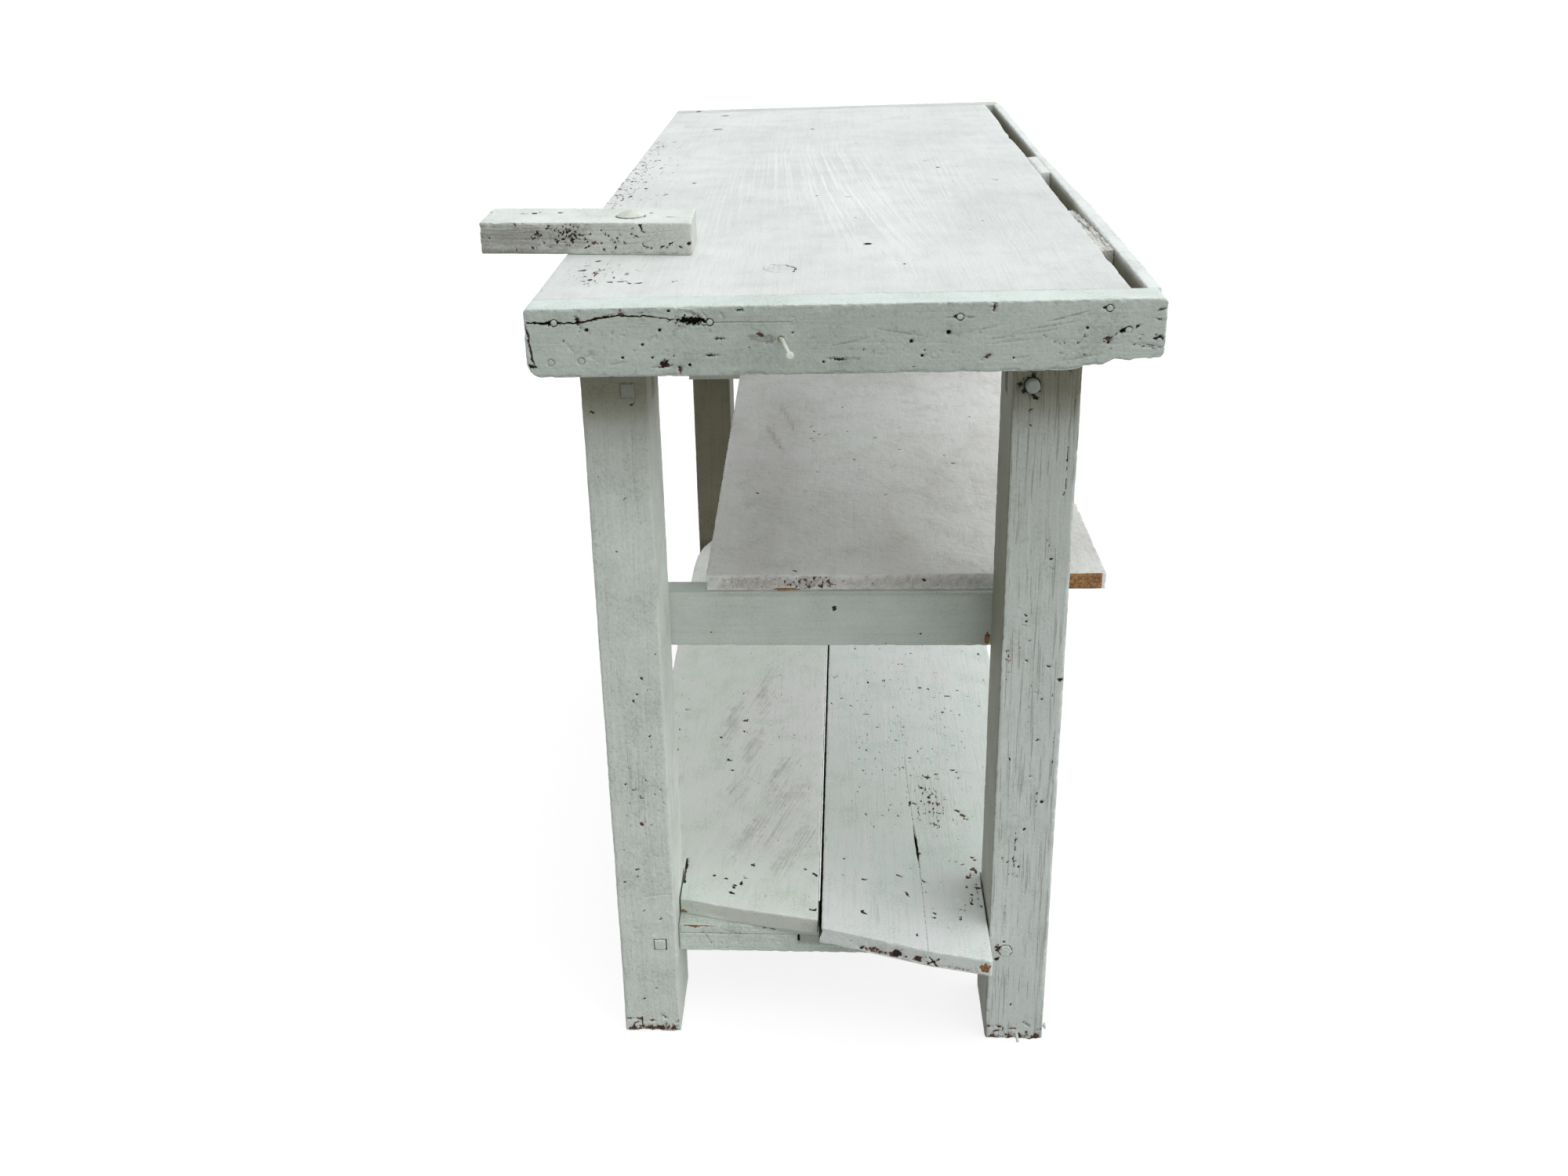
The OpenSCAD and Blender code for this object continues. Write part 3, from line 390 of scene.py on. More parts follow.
def board(name, node, low, high, step, material, seed, r=2.0, body="bench",
          bands=(None, None, None), marks=None, warp=None, place=None, wave=0.22, ridge=0.0,
          ridge_axis="x", nicks=1.0, nick_depth=0.8, nick_edges=ALL_EDGES, nick_radius=(6, 30),
          fray=0.5, scoops=(), flat=(), edge_bare=0.35, slot="painted_wood"):
    """A worn board between two corners, as one closed lattice that replaces its CAD node."""
    low, high = np.array(low, float), np.array(high, float)
    xs, ys, zs = (lines(low[a], high[a], step[a], r, bands[a] or ()) for a in range(3))
    lattice, side, quads = box_lattice(xs, ys, zs)
    rng = np.random.default_rng(seed)
    # the rounding radius wanders along the edges
    radius = r * (0.45 + 1.1 * fractal(lattice / 38.0, seed))[:, None]
    p, normal = rounded(lattice, low, high, radius)
    from_edge = np.sort(np.minimum(lattice - low, high - lattice), axis=1)[:, 1]
    m = Marks(lattice, side)
    if marks:
        marks(m)
    # hollows of a hand-planed face, lumps of old paint, the ridges of the grain and frayed edges
    relief = fractal(lattice / 70.0, seed + 3, 2) * wave
    relief += np.abs(fractal(lattice / 9.0, seed + 5, 2) - 0.5) * 0.2
    if ridge:
        scale = np.where(np.arange(3) == "xyz".index(ridge_axis), 1 / 75.0, 1 / 4.2)
        relief += np.abs(fractal(lattice * scale, seed + 7, 2) - 0.5) * 2 * ridge
    frayed = np.exp(-from_edge / 2.6) * 7.0 * fray
    frayed *= np.clip(fractal(lattice / 5.5, seed + 9) - 0.47, 0, 1)
    free = np.ones(len(lattice))
    for face in flat:
        free[m.face(face)[0]] = 0.0
    p = p - normal * (m.depth + (relief + frayed) * free + 0.05)[:, None]
    nicked = edge_scoops(low, high, rng, nicks, nick_depth, nick_radius, nick_edges)
    moved = scoop_out(p, nicked + list(scoops))
    p = np.minimum(np.maximum(p, low), high)
    rubbed = smoothstep(0.2, 1.4, moved) * 0.85 + smoothstep(0.25, 1.3, frayed) * 0.8
    m.field["bare"] = np.clip(np.maximum(m.field["bare"], rubbed * edge_bare), 0, 1.6)
    if warp:
        warp(p)
    if place is not None:
        p = (np.c_[p, np.ones(len(p))] @ np.array(place).T)[:, :3]
    fields = dict(m.field, edge=np.exp(-from_edge / 4.0))
    thing = make_object(name, (p + SHIFT) / 1000.0, quads, fields)
    thing.data.materials.append(material)
    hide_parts(node)
    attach(thing, body)
    return thing


# Materials
def lin(r, g, b):
    """A shader colour from its display values, 0 to 255."""
    values = [v / 255.0 for v in (r, g, b)]
    linear = (v / 12.92 if v <= 0.04045 else ((v + 0.055) / 1.055) ** 2.4 for v in values)
    return (*linear, 1.0)


class Tree:
    """The nodes of a material or of the world, added one at a time."""

    def __init__(self, owner):
        owner.use_nodes = True
        self.owner = owner
        self.tree = owner.node_tree
        self.tree.nodes.clear()

    def add(self, kind, **settings):
        node = self.tree.nodes.new(kind)
        for key, value in settings.items():
            setattr(node, key, value)
        return node

    def put(self, socket, value):
        """Sets a socket to a value, or links another node's socket to it."""
        if isinstance(value, bpy.types.NodeSocket):
            self.tree.links.new(value, socket)
        else:
            socket.default_value = value

    def math(self, operation, a, b=None, c=None):
        node = self.add("ShaderNodeMath", operation=operation)
        for socket, value in zip(node.inputs, (a, b, c)):
            if value is not None:
                self.put(socket, value)
        return node.outputs[0]

    def smooth(self, x, a, b):
        node = self.add("ShaderNodeMapRange", interpolation_type="SMOOTHSTEP")
        self.put(node.inputs["Value"], x)
        node.inputs["From Min"].default_value = a
        node.inputs["From Max"].default_value = b
        return node.outputs["Result"]

    def mix(self, factor, a, b, blend="MIX"):
        node = self.add("ShaderNodeMix", data_type="RGBA", blend_type=blend)
        self.put(node.inputs[0], factor)
        self.put(node.inputs[6], a)
        self.put(node.inputs[7], b)
        return node.outputs[2]

    def attribute(self, name):
        return self.add("ShaderNodeAttribute", attribute_name=name).outputs["Fac"]

    def grain_coords(self, grain, seed, turn=0.0, swept=False):
        """Coordinates in metres, the grain's direction first; turn is degrees about Z."""
        source = self.add("ShaderNodeTexCoord").outputs["Object"]
        if turn:
            rotate = self.add("ShaderNodeVectorRotate", rotation_type="Z_AXIS")
            self.put(rotate.inputs["Vector"], source)
            rotate.inputs["Angle"].default_value = math.radians(turn)
            source = rotate.outputs[0]
        parts = self.add("ShaderNodeSeparateXYZ")
        self.put(parts.inputs[0], source)
        order = {"x": (0, 1, 2), "y": (1, 0, 2), "z": (2, 0, 1)}[grain]
        joined = self.add("ShaderNodeCombineXYZ")
        for place, axis in enumerate(order):
            value = parts.outputs[axis]
            if swept and axis == 1:
                value = self.attribute("sweep")
            self.put(joined.inputs[place], self.math("ADD", value, seed * (1 + place)))
        return joined.outputs[0]

    def stretched(self, vector, along, across):
        node = self.add("ShaderNodeMapping")
        self.put(node.inputs["Vector"], vector)
        node.inputs["Scale"].default_value = (along, across, across)
        return node.outputs[0]

    def noise(self, vector, scale=1.0, detail=2.0, rough=0.5, distort=0.0):
        node = self.add("ShaderNodeTexNoise")
        self.put(node.inputs["Vector"], vector)
        node.inputs["Scale"].default_value = scale
        node.inputs["Detail"].default_value = detail
        node.inputs["Roughness"].default_value = rough
        node.inputs["Distortion"].default_value = distort
        return node.outputs["Fac"]

    def total(self, *terms):
        """The sum of (socket, weight) pairs."""
        out = 0.0
        for socket, weight in terms:
            out = self.math("MULTIPLY_ADD", socket, weight, out)
        return out

    def finish(self, colour, roughness, height, strength=0.8, specular=0.3, metallic=0.0):
        """Ends a material's tree; height, in metres, becomes its bump."""
        bump = self.add("ShaderNodeBump")
        bump.inputs["Strength"].default_value = strength
        bump.inputs["Distance"].default_value = 1.0
        self.put(bump.inputs["Height"], height)
        surface = self.add("ShaderNodeBsdfPrincipled")
        self.put(surface.inputs["Base Color"], colour)
        self.put(surface.inputs["Roughness"], roughness)
        self.put(surface.inputs["Metallic"], metallic)
        surface.inputs["Specular IOR Level"].default_value = specular
        self.put(surface.inputs["Normal"], bump.outputs[0])
        output = self.add("ShaderNodeOutputMaterial")
        self.put(output.inputs[0], surface.outputs[0])
        return self.owner

    def plain(self, kind, colour, strength=None):
        """A shader of one colour; only glows and backgrounds have a strength."""
        node = self.add(kind)
        self.put(node.inputs["Color"], colour)
        if strength is not None:
            self.put(node.inputs["Strength"], strength)
        return node.outputs[0]

    def end_by_ray(self, hidden, seen, output):
        """Ends the tree: seen where camera, glossy and transmission rays meet it, else hidden."""
        rays = self.add("ShaderNodeLightPath").outputs
        direct = self.math("MAXIMUM", rays["Is Camera Ray"], rays["Is Glossy Ray"])
        pick = self.add("ShaderNodeMixShader")
        self.put(pick.inputs["Fac"], self.math("MAXIMUM", direct, rays["Is Transmission Ray"]))
        self.put(pick.inputs[1], hidden)
        self.put(pick.inputs[2], seen)
        self.put(self.add(output).inputs[0], pick.outputs[0])
        return self.owner


# two tones of the paint, the white of its last coat's strokes and of the painted highlight on
# lumps, its rubbed edges and its stains
PALE, LOW = lin(226, 233, 230), lin(214, 221, 217)
WHITE_STROKE_AND_HIGHLIGHT, CREAM, STAIN = lin(240, 244, 243), lin(222, 218, 198), lin(176, 172, 169)
# wood under thin paint, also used for the painted shade in hollows, and the inside of holes; the
# dark and light fibres in chips and in raw wood
GREY_WOOD_AND_SHADE, HOLE = lin(146, 143, 137), lin(38, 27, 23)
BROWN_WOOD = lin(66, 42, 34), lin(128, 92, 72)
RAW_WOOD = lin(128, 92, 62), lin(190, 140, 88)
# what is left of the light in the deepest shade
SHADE = (0.36, 0.33, 0.26, 1.0)


def painted(name, grain, seed, tint=(1.0, 1.0, 1.0), streak=0.5, relief=1.0, stain=0.0, speck=0.0,
            worn=0.5, turn=0.0, brush_turn=0.0, swept=False, lump=1.0):
    """Chalky brushed paint over wood; grain is the axis that the board's grain follows.

    turn and brush_turn are how far the grain and the brush run askew, in degrees; with swept, the
    brush follows the sweep laid on the board. streak, relief, stain, speck, worn and lump are how
    much there is of thin paint, grain, stains, flakes, rubbed edges and lumps; lump also sets the
    painted shade in the hollows and the painted highlight on the lumps.
    """
    tree = Tree(bpy.data.materials.new(name))
    place = tree.grain_coords(grain, seed, turn)
    brushed = tree.grain_coords(grain, seed, turn + brush_turn, swept)

    def tinted(colour, level=1.0):
        return tuple(min(c * t * level, 0.95) for c, t in zip(colour, tint)) + (1.0,)

    broad = tree.noise(place, 4.5, 3.0, 0.55)
    patch = tree.noise(place, 24.0, 4.0, 0.6)
    brush = tree.noise(tree.stretched(brushed, 7.0, 210.0), 1.0, 4.0, 0.6)
    hair = tree.noise(tree.stretched(brushed, 22.0, 800.0), 1.0, 3.0, 0.6)
    fibre = tree.noise(tree.stretched(place, 5.0, 300.0), 1.0, 5.0, 0.66, 0.4)
    pimple = tree.noise(place, 380.0, 3.0, 0.6)
    fine = tree.noise(place, 1300.0, 2.0, 0.6)

    # two tones of paint, drawn out by the brush
    tone = tree.total((broad, 0.45), (patch, 0.25), (brush, 0.3))
    colour = tree.mix(tree.smooth(tone, 0.36, 0.64), tinted(LOW), tinted(PALE))

    # thin paint where the grey wood shows through along the grain
    grey = tree.attribute("grey")
    thin = tree.total((hair, 0.45), (brush, 0.25), (patch, 0.3), (grey, 0.10))
    level = tree.math("MULTIPLY_ADD", tree.smooth(grey, 0.4, 1.8), 0.5, 0.75 * streak)
    thin = tree.math("MULTIPLY", tree.smooth(thin, 0.54, 0.72), level)
    colour = tree.mix(thin, colour, tinted(GREY_WOOD_AND_SHADE))

    # white strokes of the last coat, and painted light where the light field is laid
    stroke_and_light = tree.noise(tree.stretched(brushed, 2.6, 330.0), 1.0, 3.0, 0.6)
    stroke_and_light = tree.math("MULTIPLY", tree.smooth(stroke_and_light, 0.51, 0.58), tree.attribute("light"))
    colour = tree.mix(tree.math("MULTIPLY", stroke_and_light, 0.8), colour, tinted(WHITE_STROKE_AND_HIGHLIGHT))

    # pinkish grey stains
    if stain:
        cloud = tree.noise(tree.stretched(place, 3.0, 9.0), 1.0, 4.0, 0.6)
        cloud = tree.math("MULTIPLY", tree.smooth(cloud, 0.42, 0.66), stain)
        colour = tree.mix(cloud, colour, tinted(STAIN))

    # fine lines of the grain
    line = tree.noise(tree.stretched(place, 15.0, 390.0), 1.0, 2.0, 0.5)
    line = tree.smooth(line, 0.56, 0.68)
    colour = tree.mix(tree.math("MULTIPLY", line, 0.2 * relief), colour, tinted(GREY_WOOD_AND_SHADE))

    # painted shade in the hollows between the lumps, and a painted highlight on the lumps
    lumps = tree.total((pimple, 0.55), (patch, 0.45))
    hollow = tree.math("SUBTRACT", 1.0, tree.smooth(lumps, 0.36, 0.5))
    colour = tree.mix(tree.math("MULTIPLY", hollow, 0.3 * lump), colour, tinted(GREY_WOOD_AND_SHADE))
    crest_highlight = tree.math("MULTIPLY", tree.smooth(lumps, 0.52, 0.64), 0.5 * lump)
    colour = tree.mix(crest_highlight, colour, tinted(WHITE_STROKE_AND_HIGHLIGHT))

    # cream where the edges are rubbed
    rubbed = tree.total((tree.attribute("edge"), 0.6), (patch, 0.5), (pimple, 0.2))
    rubbed = tree.math("MULTIPLY", tree.smooth(rubbed, 0.82, 0.98), worn)
    colour = tree.mix(rubbed, colour, tinted(CREAM))

    # flakes, chips down to brown wood, and raw orange wood
    flake = tree.noise(tree.stretched(place, 110.0, 270.0), 1.0, 3.0, 0.6)
    flakes = tree.total((tree.attribute("speck"), 0.16), (flake, 1.0))
    flakes = tree.smooth(tree.math("ADD", flakes, speck * 0.16), 0.78, 0.81)
    bare = tree.total((tree.attribute("bare"), 0.62), (flake, 0.6), (fine, 0.25))
    bare = tree.smooth(bare, 0.86, 0.93)
    chip = tree.math("MAXIMUM", flakes, bare)
    brown = tree.mix(tree.smooth(fibre, 0.38, 0.66), *BROWN_WOOD)
    colour = tree.mix(chip, colour, brown)
    raw = tree.total((tree.attribute("raw"), 1.0), (flake, 0.5), (fine, 0.2))
    raw = tree.smooth(raw, 0.82, 0.92)
    orange = tree.mix(tree.smooth(fibre, 0.4, 0.65), *RAW_WOOD)
    colour = tree.mix(raw, colour, orange)

    # holes and cracks
    dark = tree.total((pimple, 0.45), (fine, 0.25), (tree.attribute("dark"), 1.0))
    dark = tree.smooth(dark, 0.80, 0.92)
    colour = tree.mix(dark, colour, HOLE)
    # painted shade, as deep as the shade field laid on the board
    colour = tree.mix(tree.attribute("shade"), colour, tree.mix(1.0, colour, SHADE, "MULTIPLY"))

    height = tree.total(
        (brush, 0.00030), (hair, 0.00010), (fibre, 0.00055 * relief), (line, -0.00040 * relief),
        (pimple, 0.0007 * lump), (patch, 0.0016 * lump), (fine, 0.00006), (chip, -0.0005),
    )
    roughness = tree.total((patch, 0.15), (chip, 0.2))
    return tree.finish(colour, tree.math("ADD", roughness, 0.5), height)


def raw_wood(name, grain, seed, dark, light, dust):
    """Bare splintered wood with old paint dust in its grain."""
    tree = Tree(bpy.data.materials.new(name))
    place = tree.grain_coords(grain, seed)
    fibre = tree.noise(tree.stretched(place, 12.0, 480.0), 1.0, 5.0, 0.68, 0.3)
    patch = tree.noise(place, 40.0, 4.0, 0.6)
    fine = tree.noise(place, 1100.0, 3.0, 0.6)
    colour = tree.mix(tree.smooth(fibre, 0.32, 0.62), dark, light)
    colour = tree.mix(tree.smooth(patch, 0.4, 0.56), colour, dust)
    hollow = tree.smooth(tree.attribute("dark"), 0.3, 0.8)
    colour = tree.mix(hollow, colour, lin(52, 38, 30))
    height = tree.total((fibre, 0.0012), (patch, 0.0009), (fine, 0.0001))
    return tree.finish(colour, 0.85, height, 0.9, 0.2)


def steel(name, seed, cover, rust):
    """Old iron; cover is how much paint is left on it, from 0 to 1."""
    tree = Tree(bpy.data.materials.new(name))
    place = tree.grain_coords("x", seed)
    big = tree.noise(place, 60.0, 4.0, 0.6)
    mid = tree.noise(place, 260.0, 4.0, 0.65)
    fine = tree.noise(place, 1500.0, 3.0, 0.6)
    iron = tree.mix(tree.smooth(mid, 0.35, 0.7), lin(70, 62, 56), lin(122, 96, 74))
    rusty = tree.math("MULTIPLY", tree.smooth(big, 0.45, 0.65), rust)
    iron = tree.mix(rusty, iron, lin(112, 66, 42))
    paint = tree.smooth(tree.math("ADD", mid, cover - 0.5), 0.38, 0.5)
    coat = tree.mix(tree.smooth(big, 0.4, 0.62), lin(216, 223, 218), lin(208, 207, 188))
    colour = tree.mix(paint, iron, coat)
    height = tree.total((mid, 0.0003), (fine, 0.00006), (paint, 0.00018))
    metal = tree.math("MULTIPLY", tree.math("SUBTRACT", 1.0, paint), 0.6)
    roughness = tree.math("MULTIPLY_ADD", mid, 0.25, 0.36)
    return tree.finish(colour, roughness, height, 0.6, 0.4, metal)


PAINT_TOP = painted(
    "paint_top", "x", 1.3, (1.06, 1.03, 1.05), 0.22, 0.25, 0.12, worn=0.35, swept=True, lump=0.5,
)
PAINT_CAP = painted("paint_cap", "y", 4.1, (1.0, 1.04, 1.03), 0.25, 0.2, worn=0.3)
PAINT_CAP_FAR = painted("paint_cap_far", "y", 7.7, (0.92, 0.92, 0.89), 0.4, 0.8, speck=0.2)
PAINT_LEG_LEFT = painted("paint_leg_left", "z", 2.2, (1.07, 1.07, 1.03), 0.35, 0.5, worn=0.5)
PAINT_LEG_RIGHT = painted(
    "paint_leg_right", "z", 5.9, (0.99, 0.99, 0.97), 0.75, 1.7, worn=0.4, lump=0.7, turn=2,
)
# the far legs' paint is darker: painted shade, for the deep shade under the top
PAINT_LEG_FAR_SHADED = painted("paint_leg_far_shaded", "z", 9.4, (0.68, 0.65, 0.57), 0.4, 1.0, worn=0.5)
PAINT_CROSS = painted("paint_cross", "y", 3.6, (0.96, 0.97, 0.94), 0.25, 0.3, worn=0.5, lump=0.6)
PAINT_LOW = painted("paint_low_rail", "y", 13.1, (0.96, 0.98, 0.95), 0.3, 0.5, worn=0.7, lump=1.3)
# the shelf's and the planks' paint is much lighter than elsewhere: painted light, for the light
# that reaches under the top
PAINT_SHELF_LIT = painted(
    "paint_shelf_lit", "x", 6.5, (1.31, 1.25, 1.24), 0.3, 0.2, 0.3, worn=0.4, lump=0.9,
)
PAINT_PLANK_LEFT_LIT = painted(
    "paint_plank_left_lit", "x", 8.8, (1.26, 1.3, 1.23), 0.5, 0.4, worn=0.5, brush_turn=18, lump=0.8,
)
PAINT_PLANK_RIGHT_LIT = painted(
    "paint_plank_right_lit", "x", 10.3, (1.26, 1.33, 1.31), 0.35, 0.4, worn=0.5, lump=0.8,
)
PAINT_RAIL = painted("paint_rail", "x", 11.2, (1.16, 1.14, 1.15), 0.2, 0.3, worn=0.5)
PAINT_BAR = painted("paint_bar", "y", 12.9, (1.08, 1.07, 1.06), 0.4, 0.2, worn=0.5, turn=7.5)
PAINT_PEG = painted("paint_peg", "x", 14.3, (1.05, 1.05, 1.02), 0.3, 0.4)
# darker copies of the peg paint for the upper pegs, in the corner under the top: painted shade
PAINT_PEG_SHADED = painted("paint_peg_shaded", "x", 14.3, (0.42, 0.41, 0.36), 0.5, 0.4)
PAINT_PEG_ROUND_SHADED = painted("paint_peg_round_shaded", "x", 14.9, (0.56, 0.56, 0.53), 0.5, 0.4)
# the cap's nail heads are a little darker, as painted shade, like the face they sit in
PAINT_NAIL_SHADED = painted("paint_nail_shaded", "x", 16.3, (0.84, 0.84, 0.83), 0.6, 0.6)
SPLIT_WOOD = raw_wood(
    "split_wood", "x", 15.1, lin(168, 160, 150), lin(222, 222, 216), lin(232, 235, 232),
)
PLUG_WOOD = raw_wood(
    "plug_wood", "y", 16.4, lin(120, 96, 78), lin(170, 150, 128), lin(190, 188, 180),
)
NAIL_PAINTED = steel("nail_painted", 17.2, 0.72, 0.4)
NAIL_RUSTY = steel("nail_rusty", 18.6, 0.32, 0.8)
BOLT_PAINTED = steel("bolt_painted", 19.3, 0.86, 0.2)
IRON_OLD = steel("iron_old", 20.8, 0.12, 0.7)


# The top slab; in every marks function, m is the board's Marks
# x and y of pits in three parts of the top
TOP_PITS_LEFT = (
    (-900, -242), (-924, -209), (-944, -233), (-843, -244), (-736, -244), (-684, -230),
    (-759, -226), (-744, -216), (-591, -230), (-589, -215), (-542, -188), (-501, -194),
    (-537, -227), (-593, -246), (-662, -247), (-812, -224), (-837, -210), (-989, -220),
    (-550, -244), (-1142, -218), (-620, -238), (-640, -222), (-705, -240), (-780, -238),
)
TOP_PITS_NEAR = (
    (-145, -208), (-132, -210), (-118, -200), (-98, -190), (-129, -180), (-141, -170),
    (-166, -222), (-94, -135), (-98, -181), (-146, -225), (-91, -174), (-90, -164),
    (-150, -198), (-107, -211), (-186, -214), (-120, -218),
)
TOP_PITS_MIDDLE = (
    (-751, 124), (-693, 134), (-513, -12), (-502, 19), (-1083, -22), (-147, 71),
    (-923, 38), (-476, 94), (-345, 159), (-590, 147), (-594, 193), (-409, -10),
    (-374, 28), (-301, 140),
)
# it is dim in the slots: the heights where the shade of the slab and of the rail begins and is full
SLAB_DIM, RAIL_DIM = (838, 822), (839.8, 832)
# how far the middle strokes of the brush swing to the right, along the bench
SWEEP_X = (-850, -555, -360, -245, -172, -37)
SWEEP_Y = (0, 23, 45, 61, 73, 80)


def sweep(x, y):
    """The brush's own y, which stays the same along a curved stroke."""
    shift = np.interp(x, SWEEP_X, SWEEP_Y)
    own = y - shift
    for _ in range(3):
        own = y - shift * (0.12 + 0.88 * np.exp(-((own - 10) / 75.0) ** 2))
    return own


def marks_slab(m):
    top = "z+"
    m.field["sweep"] = (sweep(m.points[:, 0], m.points[:, 1]) + SHIFT[1]) / 1000.0
    m.hole(top, -238, 38, 3.6, 16, rim=0.8)
    m.blob(top, -238, 38, 4.2, 4.0, dark=1.2, rough=0.2, seed=32)
    m.pits(top, TOP_PITS_LEFT, 2.8, 0.6, dark=1.0, seed=3)
    m.pits(top, TOP_PITS_NEAR, 2.4, 0.6, dark=1.0, seed=4)
    m.pits(top, TOP_PITS_MIDDLE, 2.6, 0.5, dark=0.8, bare=0.3, seed=5)
    m.blob(top, -623, -161, 4.5, 3, deep=0.8, dark=0.8, seed=12)
    # the left edge is chipped, most of all by the bar
    m.blob(top, -640, -238, 330, 18, speck=1.2, soft=0.5, seed=7)
    m.blob(top, -620, -205, 260, 50, speck=0.75, soft=0.8, seed=6)
    m.blob(top, -900, -240, 160, 12, speck=1.2, soft=0.5, seed=8)
    m.blob(top, -125, -205, 55, 34, speck=1.0, soft=0.5, seed=9)
    # an oval knot and two filled nail places
    m.crack(top, [(-122, -30), (-138, -28), (-152, -38), (-154, -52)], [1.2, 2.0, 2.0, 0.8], 0.4,
            dark=0.75, seed=10)
    m.crack(top, [(-120, -38), (-124, -50), (-138, -58), (-150, -56)], [0.8, 1.2, 1.2, 0.5], 0.3,
            dark=0.6, seed=11)
    m.blob(top, -139, -43, 16, 13, grey=1.0, soft=0.6, seed=13)
    for x in (-1275, -1110):
        m.blob(top, x, -166, 9, 8, deep=0.35, grey=1.6, dark=0.3, rough=0.2, seed=31)
    # where the last coat was brushed on thickly
    m.blob(top, -560, 20, 330, 62, 5, light=1.0, soft=0.6, seed=14)
    m.blob(top, -560, 110, 260, 34, -4, light=0.85, soft=0.8, seed=15)
    m.blob(top, -760, -55, 230, 40, light=0.8, soft=0.8, seed=16)
    m.blob(top, -520, -110, 220, 26, light=0.5, soft=0.8, seed=17)
    # grey mottles
    m.blob(top, -330, 150, 180, 90, grey=0.8, soft=0.9, seed=18)
    m.blob(top, -1000, 60, 240, 120, grey=0.5, soft=0.9, seed=19)
    m.blob(top, -230, -80, 150, 60, grey=0.6, soft=0.9, seed=20)
    m.blob(top, -560, -215, 160, 30, grey=0.9, soft=0.9, seed=21)
    index, x, z = m.face("y+")
    m.lay(index, smoothstep(*SLAB_DIM, z), shade=1.0)
    m.wash("x+", dark=0.25)


# how far the back edge of the slab falls short, along the bench; it fades out towards the front
SLAB_DIP_X = (-1111, -999, -961, -945, -919, -871, -761, -614, -555, -465, -178, -150, -134)
SLAB_DIP = (0, 2.8, 1.6, 4.2, 2.2, 0.8, 0, 0.5, 1.5, 1.2, 0.6, 1.4, 0)
DIP_FROM, DIP_OVER = 230, 20.0


def warp_slab(p):
    dip = np.interp(p[:, 0], SLAB_DIP_X, SLAB_DIP, 0, 0)
    p[:, 1] -= dip * np.clip((p[:, 1] - DIP_FROM) / DIP_OVER, 0, 1)


board(
    "slab", "top_slab", *corners("top_slab"), (3.4, 3.0, 4.0), PAINT_TOP, 11, r=1.6,
    bands=(
        [(-242, -234, 0.7), (-205, -84, 1.5), (-240, -205, 2.2), (-640, -490, 2.2)],
        [(34, 42, 0.7), (-60, -26, 1.4), (-250, -160, 1.5)],
        None,
    ),
    marks=marks_slab, warp=warp_slab, wave=0.15, nicks=2.4, nick_depth=0.9,
    nick_edges=("y-z+", "y-z-", "y+z+"), flat=("x+", "x-"), edge_bare=0.6,
)


# The end caps
# y and z of the nails
CAP_NAIL_PLACES = (
    (-226, 827.5), (-96, 826), (-231, 793.5), (-205, 794.5),
    (108, 827), (227, 832), (243, 813.5), (268, 804),
)
# the lower nails hardly show through the paint
FAINT_BELOW = 800


def cap_nail_seats(m, face):
    for k, (y, z) in enumerate(CAP_NAIL_PLACES):
        faint = z < FAINT_BELOW
        m.hole(face, y, z, 2.9, 2.0, dark=0.2 if faint else 0.5, soft=0.3)
        m.ring(face, y, z, 3.1, 0.6, 0.4, 0.2 if faint else 0.7)
        if not faint:
            m.blob(face, y - 3.4, z + 0.5, 2.2, 1.4, deep=0.8, dark=0.9, bare=0.8, seed=300 + k)


